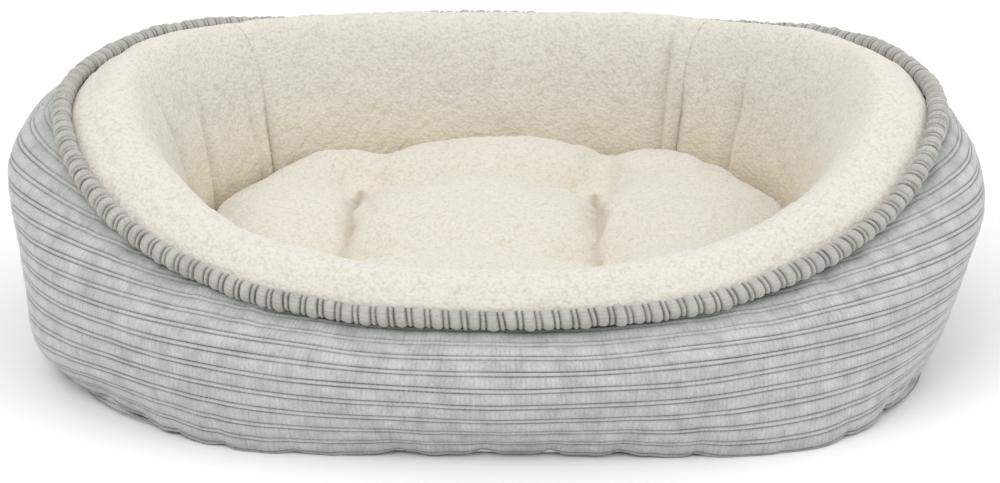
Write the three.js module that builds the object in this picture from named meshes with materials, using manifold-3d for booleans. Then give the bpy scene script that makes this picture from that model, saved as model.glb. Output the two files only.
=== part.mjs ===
// An oval bolster bed for a cat or a small dog, with a low front and a loose tufted cushion.
// Millimetres, +Z up, +Y to the back, origin at the middle of the footprint on the floor.
// The bolster is a stuffed ring: corduroy outside, sherpa inside, sewn together at a corded rim,
// and closed at the bottom by the base panel and the nest floor. The cushion lies in the nest.
import * as THREE from "three";
import { mergeVertices } from "three/addons/utils/BufferGeometryUtils.js";
import Module from "manifold-3d";

const wasm = await Module();
wasm.setup();

// ---- driving dimensions ----------------------------------------------------------------------

// Pieces that touch keep this gap, and the bolster's fibre keeps a wider one to its covers.
const CLEARANCE = 0.4;
const FILL_CLEARANCE = 1;
// Flat sections round the bed: a multiple of four, so that the ovals' four extremes are corners.
const STEPS_ROUND = 44;
// Flat steps along each curve of the bolster's section.
const STEPS_ALONG = 5;

// The girth is the widest line of the outer wall, and gives the bed's length and depth. Powers
// above 2 square an oval off.
const girth = { halfLength: 323, halfDepth: 250, shift: 0, frontPower: 2.32, backPower: 2.25 };
// Three more ovals lie so far inside it at the front, the sides and the back: the line where the
// wall meets the floor, the corded rim, and the inside of the bolster at the floor.
const baseInset = { front: 23, side: 37, back: 33 };
const rimInset = { front: 28, side: 34, back: 8 };
const nestInset = { front: 104, side: 114, back: 64 };

// Heights at the front, the sides and the back: the rim's, and the crest's above the rim.
const rimHeight = { front: 86, side: 161, back: 154 };
const crestRise = { front: 17, side: 13, back: 6 };
// The outer wall is widest at this share of the rim's height.
const GIRTH_LEVEL = 0.62;
// The crest lies this share of the way from the rim to the nest.
const CREST_PLACE = 0.42;

const WALL_CLOTH = 3;
const LINER_CLOTH = 7;
const BASE_CLOTH = 1.6;
const FLOOR_CLOTH = 2;
// The liner's two seams, at the back right and the back left: degrees from the bed's right end.
const LINER_SEAMS = [57, 139];

// The corded rim: a cord, its cloth cover, and the cover's two flat tails, sewn into the seam.
const CORD_RADIUS = 4.2;
const PIPING_CLOTH = 1.3;
const TAIL_LENGTH = 9;
// The tails lean into the bolster by this angle from straight down.
const TAIL_LEAN = Math.PI / 6;
const THREAD_RADIUS = 0.6;

const CUSHION_HEIGHT = 72;
// The gap between the cushion and the bolster, all round.
const CUSHION_CLEARANCE = 3;
const CUSHION_CLOTH = 5;
const CUSHION_UNDER_CLOTH = 1.6;
// The top cover is sewn to the underside at this height above the underside.
const CUSHION_SEAM_HEIGHT = 18;
// Four ties pull the cushion's top down, so far in from its sides and from its front and back.
// Their pattern lies a little left of the middle.
const tieInset = { side: 122, front: 87 };
const TIE_SHIFT = -18;
const TIE_DEPTH = 22;
// The dimple round a tie fades over this distance.
const TIE_REACH = 34;
const TIE_RADIUS = 1.2;
const KNOT_RADIUS = 2.6;
const KNOT_HEIGHT = 1.4;

// ---- sizes that follow -----------------------------------------------------------------------

const PIPING_RADIUS = CORD_RADIUS + CLEARANCE + PIPING_CLOTH;
const SLIT_HALF = CLEARANCE / 2;
const TAIL_HALF = SLIT_HALF + PIPING_CLOTH;
const BASE_TOP = BASE_CLOTH + CLEARANCE;
const FLOOR_TOP = BASE_TOP + FLOOR_CLOTH;
const LINER_BOTTOM = FLOOR_TOP + CLEARANCE;
const CUSHION_BOTTOM = FLOOR_TOP + CLEARANCE;
const CUSHION_TOP = CUSHION_BOTTOM + CUSHION_HEIGHT;
const SEAM_LEVEL = CUSHION_BOTTOM + CUSHION_SEAM_HEIGHT;
// What a seam's thread takes up, with a gap on both sides.
const THREAD_ROOM = 2 * (THREAD_RADIUS + CLEARANCE);

// ---- the bed's outline and section -----------------------------------------------------------

const vec = (x, y) => new THREE.Vector2(x, y);
const along = (from, way, distance) => from.clone().addScaledVector(way, distance);
const angleOf = (step) => (step * 2 * Math.PI) / STEPS_ROUND;

// The oval that lies inside the girth by the given insets.
const insideGirth = (inset, frontPower, backPower) => ({
  halfLength: girth.halfLength - inset.side,
  halfDepth: girth.halfDepth - (inset.front + inset.back) / 2,
  shift: girth.shift + (inset.front - inset.back) / 2,
  frontPower,
  backPower,
});
const base = insideGirth(baseInset, 3, 2.6);
const rim = insideGirth(rimInset, 2.3, 2.15);
const nest = insideGirth(nestInset, 2.3, 2.3);

const powerOf = (oval, y) => (y < 0 ? oval.frontPower : oval.backPower);

// The point of an oval at angle t: 0 is the right end, -90 degrees the middle of the front.
function onOval(oval, t) {
  const square = (value) => Math.sign(value) * Math.abs(value) ** (2 / powerOf(oval, Math.sin(t)));
  return vec(oval.halfLength * square(Math.cos(t)), oval.shift + oval.halfDepth * square(Math.sin(t)));
}

function isInside(oval, point) {
  const y = point.y - oval.shift;
  const power = powerOf(oval, y);
  return Math.abs(point.x / oval.halfLength) ** power + Math.abs(y / oval.halfDepth) ** power < 1;
}

// A section of the bolster lies in an upright plane from the girth to the nest. Its points are
// (distance inwards from the girth, height).
function planeAt(t) {
  const start = onOval(girth, t);
  const inwards = onOval(nest, t).sub(start);
  return { start, width: inwards.length(), way: inwards.normalize() };
}

function inSpace(t, point) {
  const { start, way } = planeAt(t);
  const place = along(start, way, point.x);
  return new THREE.Vector3(place.x, place.y, point.y);
}

// The distance inwards from the girth to another of the ovals, halved down to where they cross.
function insetTo(oval, t) {
  const { start, way, width } = planeAt(t);
  let outside = 0;
  let inside = width;
  for (let i = 0; i < 40; i += 1) {
    const middle = (outside + inside) / 2;
    if (isInside(oval, along(start, way, middle))) inside = middle;
    else outside = middle;
  }
  return inside;
}

// A height that runs smoothly from its front value to its side value to its back value. It drops
// sooner towards the front than towards the back.
function heightAt(t, { front, side, back }) {
  const lean = Math.sin(t);
  if (lean < 0) return side + (front - side) * lean ** 2 * (2 + lean);
  return side + (back - side) * lean ** 2;
}

const rimCentre = (t) => vec(insetTo(rim, t), heightAt(t, rimHeight));
const tailWay = vec(Math.sin(TAIL_LEAN), -Math.cos(TAIL_LEAN));
const acrossTails = vec(Math.cos(TAIL_LEAN), Math.sin(TAIL_LEAN));

// A point beside the tails: its distance from the cord's centre, and how far inside them it is.
const besideTails = (t, distance, aside) =>
  along(along(rimCentre(t), tailWay, distance), acrossTails, aside);

// The outer face of the corduroy wall, from the base panel over the girth up to the rim.
function wallCurves(t) {
  const inset = insetTo(base, t);
  const level = GIRTH_LEVEL * heightAt(t, rimHeight);
  const foot = vec(inset, BASE_TOP);
  const widest = vec(0, level);
  const end = besideTails(t, PIPING_RADIUS + CLEARANCE, -TAIL_HALF - CLEARANCE);
  const shoulder = vec(0, level + 0.6 * (end.y - level));
  return [
    new THREE.CubicBezierCurve(foot, vec(0.5 * inset, 0.3 * level), vec(0, 0.55 * level), widest),
    new THREE.CubicBezierCurve(widest, shoulder, along(end, acrossTails, -0.5 * end.x), end),
  ];
}

// The inner face of the sherpa liner, from the rim over the crest and down to the nest floor.
function linerCurves(t) {
  const { width } = planeAt(t);
  const start = besideTails(t, PIPING_RADIUS + CLEARANCE, TAIL_HALF + CLEARANCE);
  const crest = vec(
    THREE.MathUtils.lerp(start.x, width, CREST_PLACE),
    heightAt(t, rimHeight) + heightAt(t, crestRise),
  );
  const rise = crest.x - start.x;
  const brow = vec(crest.x + 0.5 * (width - crest.x), crest.y);
  const foot = vec(width, LINER_BOTTOM);
  return [
    new THREE.CubicBezierCurve(
      start,
      along(start, acrossTails, 0.35 * rise),
      vec(crest.x - 0.5 * rise, crest.y),
      crest,
    ),
    new THREE.CubicBezierCurve(crest, brow, vec(width, 0.55 * crest.y), foot),
  ];
}

// Points along curves that follow one another, so far to the right of them as distance says.
function beside(curves, distance) {
  return curves.flatMap((curve, i) =>
    Array.from({ length: STEPS_ALONG + 1 }, (_, step) => {
      const way = curve.getTangent(step / STEPS_ALONG);
      return along(curve.getPoint(step / STEPS_ALONG), vec(way.y, -way.x), distance);
    }).slice(i ? 1 : 0),
  );
}

const clothSection = (curves, thickness) => [
  ...beside(curves, 0),
  ...beside(curves, thickness).reverse(),
];

// A round section with a few sides, for a cord or a thread.
const roundSection = (centre, radius, sides) =>
  Array.from({ length: sides }, (_, i) => {
    const angle = ((i + 0.5) * 2 * Math.PI) / sides;
    return along(centre, vec(Math.cos(angle), Math.sin(angle)), radius);
  });

// ---- making solids ---------------------------------------------------------------------------

function signedVolume(geometry) {
  const at = geometry.getAttribute("position");
  const corner = (i) => new THREE.Vector3().fromBufferAttribute(at, geometry.index.getX(i));
  let sum = 0;
  for (let i = 0; i < geometry.index.count; i += 3) {
    sum += corner(i).dot(corner(i + 1).cross(corner(i + 2)));
  }
  return sum / 6;
}

// Merges shared vertices, and turns the faces outwards where they point in.
function closedBody(geometry) {
  geometry.deleteAttribute("normal");
  geometry.deleteAttribute("uv");
  const body = mergeVertices(geometry, 1e-3);
  if (signedVolume(body) < 0) body.index.array.reverse();
  body.computeVertexNormals();
  return body;
}

// A closed section carried all the way round the bed. sectionAt gives its points at angle t.
function ring(sectionAt) {
  const closed = (t) => [...sectionAt(t), sectionAt(t)[0]];
  const geometry = new THREE.LatheGeometry(closed(0), STEPS_ROUND);
  const at = geometry.getAttribute("position");
  const perStep = closed(0).length;
  for (let step = 0; step <= STEPS_ROUND; step += 1) {
    const t = angleOf(step % STEPS_ROUND);
    closed(t).forEach((point, i) => {
      const place = inSpace(t, point);
      at.setXYZ(step * perStep + i, place.x, place.y, place.z);
    });
  }
  return closedBody(geometry);
}

// A section carried from one step to another, with flat ends that stand back from the seams.
// The middle's section is extruded, and its corners then move to their places at every step.
function stretch(sectionAt, firstStep, lastStep) {
  const steps = lastStep - firstStep;
  const gap = CLEARANCE / nest.halfDepth;
  const angleAt = (step) =>
    THREE.MathUtils.clamp(angleOf(firstStep + step), angleOf(firstStep) + gap, angleOf(lastStep) - gap);
  const template = sectionAt(angleAt(steps / 2));
  const shape = new THREE.Shape(template);
  const geometry = new THREE.ExtrudeGeometry(shape, { depth: steps, steps, bevelEnabled: false });
  const sections = Array.from({ length: steps + 1 }, (_, step) =>
    sectionAt(angleAt(step)).map((point) => inSpace(angleAt(step), point)),
  );
  const at = geometry.getAttribute("position");
  for (let i = 0; i < at.count; i += 1) {
    const flat = vec(at.getX(i), at.getY(i));
    const gaps = template.map((point) => point.distanceToSquared(flat));
    const place = sections[Math.round(at.getZ(i))][gaps.indexOf(Math.min(...gaps))];
    at.setXYZ(i, place.x, place.y, place.z);
  }
  return closedBody(geometry);
}

// A closed body with an oval outline. Each point of the profile is (share of the oval, height),
// and lift adds the height of the surface at that place.
function ovalBody(oval, profile, lift = () => 0) {
  const geometry = new THREE.LatheGeometry(profile, STEPS_ROUND);
  const at = geometry.getAttribute("position");
  for (let i = 0; i < at.count; i += 1) {
    const point = profile[i % profile.length];
    const step = Math.floor(i / profile.length) % STEPS_ROUND;
    const place = onOval({ ...oval, shift: 0 }, angleOf(step)).multiplyScalar(point.x);
    at.setXYZ(i, place.x, place.y + oval.shift, point.y + lift(place, point.x));
  }
  return closedBody(geometry);
}

// An upright turned body at (x, y), with its profile given as (radius, height).
function turned(profile, { x, y }) {
  const geometry = new THREE.LatheGeometry(profile, 8);
  geometry.rotateX(Math.PI / 2);
  geometry.translate(x, y, 0);
  return closedBody(geometry);
}

function solidOf(geometry) {
  return new wasm.Manifold(
    new wasm.Mesh({
      numProp: 3,
      vertProperties: new Float32Array(geometry.getAttribute("position").array),
      triVerts: new Uint32Array(geometry.index.array),
    }),
  );
}

function cut(geometry, cutters) {
  const left = cutters.reduce((solid, cutter) => solid.subtract(solidOf(cutter)), solidOf(geometry));
  const mesh = left.getMesh();
  const body = new THREE.BufferGeometry();
  body.setAttribute("position", new THREE.BufferAttribute(mesh.vertProperties, 3));
  body.setIndex(new THREE.BufferAttribute(mesh.triVerts, 1));
  body.computeVertexNormals();
  return body;
}

// ---- materials -------------------------------------------------------------------------------

const cloth = (color, roughness) =>
  new THREE.MeshStandardMaterial({ color, roughness, metalness: 0 });
const corduroy = cloth(0xb4b7b5, 0.85);
const sherpa = cloth(0xece3d2, 0.95);
const paleFelt = cloth(0xe9e8e4, 0.9);
const nonSlipCloth = cloth(0x4a4c4e, 0.8);
const fibre = cloth(0xf6f6f4, 1);
const cottonCord = cloth(0xefece4, 0.9);
const greyThread = cloth(0x9a9d9b, 0.7);
const creamThread = cloth(0xe4d9c2, 0.7);

const bed = new THREE.Group();
bed.name = "bed";

function add(parent, name, geometry, material) {
  const mesh = new THREE.Mesh(geometry, material);
  mesh.name = name;
  parent.add(mesh);
}

// ---- the bolster's covers --------------------------------------------------------------------

// The two corduroy panels meet in a seam at each end of the bed.
const wallSection = (t) => clothSection(wallCurves(t), WALL_CLOTH);
add(bed, "outer_wall_front", stretch(wallSection, -STEPS_ROUND / 2, 0), corduroy);
add(bed, "outer_wall_back", stretch(wallSection, 0, STEPS_ROUND / 2), corduroy);

// The two sherpa panels meet in a seam at each side of the back.
const linerSection = (t) => clothSection(linerCurves(t), LINER_CLOTH);
const [rightSeam, leftSeam] = LINER_SEAMS.map((degrees) => Math.round((degrees / 360) * STEPS_ROUND));
add(bed, "liner_back", stretch(linerSection, rightSeam, leftSeam), sherpa);
add(bed, "liner_front", stretch(linerSection, leftSeam - STEPS_ROUND, rightSeam), sherpa);

// ---- the corded rim --------------------------------------------------------------------------

// An arc round the cord, open where the tails leave it, from one side of them to the other.
function rimArc(t, radius, aside, sides) {
  const down = Math.atan2(tailWay.y, tailWay.x);
  const open = Math.asin(aside / radius);
  return Array.from({ length: sides + 1 }, (_, i) => {
    const angle = down + open + (2 * (Math.PI - open) * i) / sides;
    return along(rimCentre(t), vec(Math.cos(angle), Math.sin(angle)), radius);
  });
}

// The cover wraps the cord and runs on as two tails that lie together, a slit between them.
function pipingSection(t) {
  const tip = PIPING_RADIUS + TAIL_LENGTH;
  return [
    besideTails(t, tip, TAIL_HALF),
    ...rimArc(t, PIPING_RADIUS, TAIL_HALF, 8),
    besideTails(t, tip, -TAIL_HALF),
    besideTails(t, tip, -SLIT_HALF),
    ...rimArc(t, CORD_RADIUS + CLEARANCE, SLIT_HALF, 8).reverse(),
    besideTails(t, tip, SLIT_HALF),
  ];
}

// The cord's corners stay on the circle of its radius, inside the cover's flats.
const cordSection = (t) => roundSection(rimCentre(t), CORD_RADIUS - CLEARANCE / 2, 8);
add(bed, "rim_piping_cover", ring(pipingSection), corduroy);
add(bed, "rim_piping_cord", ring(cordSection), cottonCord);

// ---- the seams' threads ----------------------------------------------------------------------

// A thread runs round the bed in the pocket between the cloths' edges and the fibre.
function seamThread(name, centreAt, material) {
  add(bed, name, ring((t) => roundSection(centreAt(t), THREAD_RADIUS, 4)), material);
}

const RIM_SEAM = PIPING_RADIUS + TAIL_LENGTH + CLEARANCE + THREAD_RADIUS;
const THREAD_INSET = CLEARANCE + THREAD_RADIUS;
const wallFoot = (t) => insetTo(base, t) + WALL_CLOTH;
const linerBack = (t) => planeAt(t).width - LINER_CLOTH;
seamThread("rim_seam_thread", (t) => besideTails(t, RIM_SEAM, 0), greyThread);
seamThread(
  "base_seam_thread",
  (t) => vec(wallFoot(t) + THREAD_INSET, BASE_TOP + THREAD_RADIUS),
  greyThread,
);
seamThread(
  "nest_seam_thread",
  (t) => vec(linerBack(t) - THREAD_INSET, LINER_BOTTOM + THREAD_RADIUS),
  creamThread,
);

// ---- the bolster's fill ----------------------------------------------------------------------

// The fibre fills the ring between the wall, the liner and the base panel, clear of every seam.
// Its points run the same way as the cloths' inner sides, so that both are split into the same
// triangles.
function fillSection(t) {
  const wallSide = beside(wallCurves(t), WALL_CLOTH + FILL_CLEARANCE);
  const linerSide = beside(linerCurves(t), LINER_CLOTH + FILL_CLEARANCE);
  const pastTails = RIM_SEAM + THREAD_RADIUS + FILL_CLEARANCE;
  const floorEdge = linerBack(t) - FILL_CLEARANCE - THREAD_ROOM;
  return [
    vec(floorEdge, BASE_TOP),
    vec(floorEdge, LINER_BOTTOM + THREAD_ROOM),
    ...linerSide.slice(2, -1).reverse(),
    besideTails(t, pastTails, TAIL_HALF),
    besideTails(t, pastTails, -TAIL_HALF),
    ...wallSide.slice(1, -1).reverse(),
    vec(wallFoot(t) + FILL_CLEARANCE + THREAD_ROOM, BASE_TOP),
  ];
}

add(bed, "bolster_fill", ring(fillSection), fibre);

// ---- the bottom ------------------------------------------------------------------------------

// A flat cloth whose edge is so far inwards from the girth as edgeAt says.
function panel(name, edgeAt, bottom, thickness, material) {
  const outline = Array.from({ length: STEPS_ROUND }, (_, step) => {
    const { start, way } = planeAt(angleOf(step));
    return along(start, way, edgeAt(angleOf(step)));
  });
  const geometry = new THREE.ExtrudeGeometry(new THREE.Shape(outline), {
    depth: thickness,
    bevelEnabled: false,
  });
  geometry.translate(0, 0, bottom);
  add(bed, name, closedBody(geometry), material);
}

panel("base_panel", (t) => insetTo(base, t), 0, BASE_CLOTH, nonSlipCloth);
panel("nest_floor", (t) => linerBack(t) - CLEARANCE, BASE_TOP, FLOOR_CLOTH, paleFelt);

// ---- the loose cushion -----------------------------------------------------------------------

const cushion = new THREE.Group();
cushion.name = "cushion";
bed.add(cushion);

const cushionOval = {
  ...nest,
  halfLength: nest.halfLength - CUSHION_CLEARANCE,
  halfDepth: nest.halfDepth - CUSHION_CLEARANCE,
};
const shareOf = (distance) => distance / cushionOval.halfDepth;

// The ties' places, measured from the cushion's middle.
const tieX = cushionOval.halfLength - tieInset.side;
const tieY = cushionOval.halfDepth - tieInset.front;
const ties = [
  ["front_left", vec(TIE_SHIFT - tieX, -tieY)],
  ["front_right", vec(TIE_SHIFT + tieX, -tieY)],
  ["back_left", vec(TIE_SHIFT - tieX, tieY)],
  ["back_right", vec(TIE_SHIFT + tieX, tieY)],
];

// The crown is the top inside this share of the oval. The ties' pull dies away at its edge.
const CROWN_EDGE = 0.84;
const CROWN_RINGS = 7;
function pulledDown(place, share) {
  const dips = ties.map(([, tie]) => Math.exp(-((place.distanceTo(tie) / TIE_REACH) ** 2)));
  const pull = THREE.MathUtils.clamp((CROWN_EDGE - share) * CROWN_RINGS, 0, 1);
  return -TIE_DEPTH * pull * Math.max(...dips);
}

// The cushion's side and crown, from its edge seam to its middle, the given distance inside.
function crownProfile(inside) {
  const edge = 1 - shareOf(inside);
  const top = CUSHION_TOP - inside;
  const side = new THREE.CubicBezierCurve(
    vec(edge, SEAM_LEVEL),
    vec(edge, SEAM_LEVEL + 0.75 * (top - SEAM_LEVEL)),
    vec(edge - shareOf(6), top),
    vec(CROWN_EDGE, top),
  );
  const crown = Array.from({ length: CROWN_RINGS }, (_, i) =>
    vec(CROWN_EDGE * (1 - (i + 1) / CROWN_RINGS), top),
  );
  return [...side.getPoints(4), ...crown];
}

const UNDER_TOP = CUSHION_BOTTOM + CUSHION_UNDER_CLOTH;
const UNDER_EDGE = 0.93;
const coverInside = 1 - shareOf(CUSHION_CLOTH);
const topCover = ovalBody(
  cushionOval,
  [...crownProfile(0), ...crownProfile(CUSHION_CLOTH).reverse(), vec(1, SEAM_LEVEL)],
  pulledDown,
);
const underCover = ovalBody(cushionOval, [
  vec(0, CUSHION_BOTTOM),
  vec(UNDER_EDGE, CUSHION_BOTTOM),
  vec(1, SEAM_LEVEL - CLEARANCE),
  vec(coverInside, SEAM_LEVEL - CLEARANCE),
  vec(UNDER_EDGE - shareOf(CUSHION_UNDER_CLOTH), UNDER_TOP),
  vec(0, UNDER_TOP),
]);
// The fill's crown runs from the middle outwards, as the cover's inner side does, so that the
// two are split into the same triangles.
const fill = ovalBody(
  cushionOval,
  [
    ...crownProfile(CUSHION_CLOTH + FILL_CLEARANCE).slice(1).reverse(),
    vec(coverInside - shareOf(THREAD_ROOM + FILL_CLEARANCE), SEAM_LEVEL),
    vec(UNDER_EDGE - shareOf(CUSHION_CLOTH), UNDER_TOP + CLEARANCE),
    vec(0, UNDER_TOP + CLEARANCE),
  ],
  pulledDown,
);

// A tie is sewn into the underside and runs up to a knot in its dimple. Its knot lies in a well
// that the top cover leaves for it.
const KNOT_LEVEL = CUSHION_TOP - TIE_DEPTH;
const tieProfile = [
  vec(0, CUSHION_BOTTOM),
  vec(TIE_RADIUS, CUSHION_BOTTOM),
  vec(TIE_RADIUS, KNOT_LEVEL),
  vec(KNOT_RADIUS, KNOT_LEVEL),
  vec(0.7 * KNOT_RADIUS, KNOT_LEVEL + KNOT_HEIGHT),
  vec(0, KNOT_LEVEL + KNOT_HEIGHT),
];
const roomProfile = [
  vec(0, CUSHION_BOTTOM - 1),
  vec(TIE_RADIUS + CLEARANCE, CUSHION_BOTTOM - 1),
  vec(TIE_RADIUS + CLEARANCE, KNOT_LEVEL - CLEARANCE),
  vec(KNOT_RADIUS + CLEARANCE, KNOT_LEVEL - CLEARANCE),
  vec(KNOT_RADIUS + CLEARANCE, CUSHION_TOP),
  vec(0, CUSHION_TOP),
];
const tieSpot = ([, tie]) => vec(tie.x, tie.y + cushionOval.shift);
const tieRooms = ties.map((tie) => turned(roomProfile, tieSpot(tie)));
add(cushion, "cushion_top_cover", cut(topCover, tieRooms), sherpa);
add(cushion, "cushion_under_cover", cut(underCover, tieRooms), paleFelt);
add(cushion, "cushion_fill", cut(fill, tieRooms), fibre);
ties.forEach((tie) => {
  add(cushion, `cushion_tie_${tie[0]}`, turned(tieProfile, tieSpot(tie)), creamThread);
});

// The thread of the cushion's edge seam lies just inside the covers' edges.
const edgeSeam = vec(coverInside - shareOf(THREAD_INSET), SEAM_LEVEL);
const threadSection = [
  along(edgeSeam, vec(1, 0), shareOf(THREAD_RADIUS)),
  along(edgeSeam, vec(0, 1), THREAD_RADIUS),
  along(edgeSeam, vec(-1, 0), shareOf(THREAD_RADIUS)),
  along(edgeSeam, vec(0, -1), THREAD_RADIUS),
];
const edgeThread = ovalBody(cushionOval, [...threadSection, threadSection[0]]);
add(cushion, "cushion_edge_thread", edgeThread, creamThread);

export default bed;
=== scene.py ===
"""An oval bolster bed for a cat or a small dog: the looks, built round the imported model.

Metres, +Z up, +Y to the back. Corduroy outside, sherpa inside, a corded rim between them, and a
loose tufted cushion in the nest.
"""

import logging
import math
from dataclasses import dataclass, field, replace
from enum import Enum
from typing import Sequence

import bmesh
import bpy
import numpy as np
from mathutils import Matrix, Vector


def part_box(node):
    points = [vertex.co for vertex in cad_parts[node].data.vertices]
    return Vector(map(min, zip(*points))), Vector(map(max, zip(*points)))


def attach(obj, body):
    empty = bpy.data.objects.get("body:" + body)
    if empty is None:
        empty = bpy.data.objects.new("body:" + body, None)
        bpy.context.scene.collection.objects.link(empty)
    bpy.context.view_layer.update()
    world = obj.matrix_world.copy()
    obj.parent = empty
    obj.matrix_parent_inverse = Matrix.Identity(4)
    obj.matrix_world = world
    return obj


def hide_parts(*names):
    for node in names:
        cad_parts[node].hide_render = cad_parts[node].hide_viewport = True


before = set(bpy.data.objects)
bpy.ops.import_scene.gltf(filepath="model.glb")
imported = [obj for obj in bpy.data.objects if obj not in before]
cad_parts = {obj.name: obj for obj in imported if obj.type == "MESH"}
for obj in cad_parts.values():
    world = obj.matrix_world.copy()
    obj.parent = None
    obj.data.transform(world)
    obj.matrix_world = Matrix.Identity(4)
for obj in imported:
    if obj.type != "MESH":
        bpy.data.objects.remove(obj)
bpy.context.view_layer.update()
LOG = logging.getLogger("pet_bed")
NUB_WANDER = 0.0016
NUB_MIDDLE = 0.6

Array = np.ndarray
Colour = tuple[float, float, float]


class Body(str, Enum):
    """The bodies that pieces ride on."""

    BED = "bed"
    CUSHION = "cushion"


class Slot(str, Enum):
    """The record's material slots."""

    CORDUROY = "corduroy"
    PIPING = "corduroy_piping"
    SHERPA = "sherpa"
    FELT = "pale_felt"
    NON_SLIP = "non_slip_cloth"
    FIBRE = "fibre_fill"
    CORD = "cotton_cord"
    GREY_THREAD = "grey_thread"
    CREAM_THREAD = "cream_thread"


# ---- noise -----------------------------------------------------------------------------------


def scramble(cell: Array, seed: int) -> Array:
    """Turns whole-number cells into even random numbers.

    Args:
        cell: whole numbers, three to a row.
        seed: picks one set of random numbers.

    Returns:
        One number from 0 to 1 for each row.
    """
    x, y, z = (cell[..., i].astype(np.int64) for i in range(3))
    mixed = (x * 73856093) ^ (y * 19349663) ^ (z * 83492791) ^ (seed * 2654435761)
    mixed &= 0xFFFFFFFF
    mixed = ((mixed ^ (mixed >> 15)) * 2246822519) & 0xFFFFFFFF
    mixed = ((mixed ^ (mixed >> 13)) * 3266489917) & 0xFFFFFFFF
    return ((mixed ^ (mixed >> 16)) & 0xFFFFFF) / float(0xFFFFFF)


def grain(points: Array, size: float, seed: int) -> Array:
    """Smooth noise.

    Args:
        points: places, three numbers to a row.
        size: how far apart its lumps lie.
        seed: picks one pattern.

    Returns:
        A number from -1 to 1 for each place.
    """
    scaled = points / size
    cell = np.floor(scaled)
    part = scaled - cell
    part = part * part * (3 - 2 * part)
    total = np.zeros(points.shape[:-1])
    for corner in np.ndindex(2, 2, 2):
        step = np.array(corner)
        weight = np.prod(np.where(step == 1, part, 1 - part), axis=-1)
        total += weight * scramble(cell + step, seed)
    return 2 * total - 1


def cells(points: Array, size: float, seed: int) -> Array:
    """Distance to the nearest of many scattered centres.

    Args:
        points: places, three numbers to a row.
        size: how far apart the centres lie.
        seed: picks one pattern.

    Returns:
        The distance for each place, as a share of size.
    """
    scaled = points / size
    home = np.floor(scaled)
    nearest = np.full(points.shape[:-1], 9.0)
    for offset in np.ndindex(3, 3, 3):
        cell = home + np.array(offset) - 1
        jitter = np.stack([scramble(cell, seed + k) for k in range(3)], axis=-1)
        gap = np.linalg.norm(cell + jitter - scaled, axis=-1)
        nearest = np.minimum(nearest, gap)
    return nearest


def nubs(points: Array, size: float, seed: int) -> Array:
    """How high the fleece's curled nubs stand at each point, from 0 to 1.

    Args:
        points: places in space.
        size: how far apart the nubs are.
        seed: which nubs; it also uses the next seed.

    Returns:
        One value for each point.
    """
    wandered = points + NUB_WANDER * grain(points, 0.004, seed)[..., None]
    return 1 - np.clip(cells(wandered, size, seed + 1), 0, 1) ** 2


def smooth(value: Array) -> Array:
    """Eases a share from 0 to 1, flat at both ends."""
    share = np.clip(value, 0, 1)
    return share * share * (3 - 2 * share)


def hump(distance: Array, width: float) -> Array:
    """A bell of height 1 that is about as wide as width."""
    return np.exp(-((distance / width) ** 2))


def as_line(along: Array) -> Array:
    """Places on a straight line, for noise that changes only along it."""
    return np.stack([along, 0 * along, 0 * along], axis=-1)


def reach_along(path: Array) -> Array:
    """How far along a path each of its points lies."""
    step = np.linalg.norm(np.diff(path, axis=0), axis=-1)
    return np.concatenate([[0.0], np.cumsum(step)])


def round_trip(path: Array) -> Array:
    """The way ahead at each point of a path whose last point is its first, not scaled."""
    ahead = np.roll(path[:-1], -1, axis=0) - np.roll(path[:-1], 1, axis=0)
    return np.concatenate([ahead, ahead[:1]])


def unit(ways: Array) -> Array:
    """Directions scaled to a length of 1."""
    return ways / np.linalg.norm(ways, axis=-1, keepdims=True)


# ---- the bed's shape -------------------------------------------------------------------------


@dataclass(frozen=True)
class Oval:
    """A closed oval seen from above. Powers above 2 square it off."""

    half_length: float
    half_depth: float
    shift: float
    front_power: float
    back_power: float

    def powers(self, side: Array) -> Array:
        """The power that holds on the front side, below 0, or on the back side."""
        return np.where(side < 0, self.front_power, self.back_power)

    def at(self, t: Array) -> Array:
        """Points of the oval.

        Args:
            t: angles, where 0 is the right end and -90 degrees the middle of the front.

        Returns:
            (x, y) for each angle.
        """
        cos, sin = np.cos(t), np.sin(t)
        power = 2 / self.powers(sin)
        x = self.half_length * np.sign(cos) * np.abs(cos) ** power
        y = self.shift + self.half_depth * np.sign(sin) * np.abs(sin) ** power
        return np.stack([x, y], axis=-1)

    def share(self, point: Array) -> Array:
        """How far out each (x, y) lies, where 1 is on the oval."""
        x, y = point[..., 0], point[..., 1] - self.shift
        power = self.powers(y)
        total = np.abs(x / self.half_length) ** power + np.abs(y / self.half_depth) ** power
        return total ** (1 / power)

    def grown(self, by: float) -> "Oval":
        """The oval that lies so far outside this one."""
        return Oval(
            self.half_length + by, self.half_depth + by, self.shift, self.front_power, self.back_power
        )


@dataclass(frozen=True)
class Level:
    """A height that changes smoothly from the front to the sides to the back."""

    front: float
    side: float
    back: float

    def at(self, t: Array) -> Array:
        """The height at each angle."""
        lean = np.sin(t)
        forward = self.side + (self.front - self.side) * lean**2 * (2 + lean)
        backward = self.side + (self.back - self.side) * lean**2
        return np.where(lean < 0, forward, backward)


def curve(first: Array, second: Array, third: Array, last: Array, steps: int) -> Array:
    """Cubic curves, one for each row of their four control points.

    Args:
        first, second, third, last: control points, two numbers to a row.
        steps: how many straight steps each curve is cut into.

    Returns:
        The curves' points, as rows by steps + 1 by two.
    """
    s = np.linspace(0, 1, steps + 1)
    shares = [(1 - s) ** 3, 3 * s * (1 - s) ** 2, 3 * s * s * (1 - s), s**3]
    corners = [first, second, third, last]
    return sum(corner[:, None, :] * share[None, :, None] for corner, share in zip(corners, shares))


def pairs(x: Array, y: Array) -> Array:
    """Two columns of numbers side by side, stretched to the same length."""
    return np.stack(np.broadcast_arrays(x, y), axis=-1)


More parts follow.
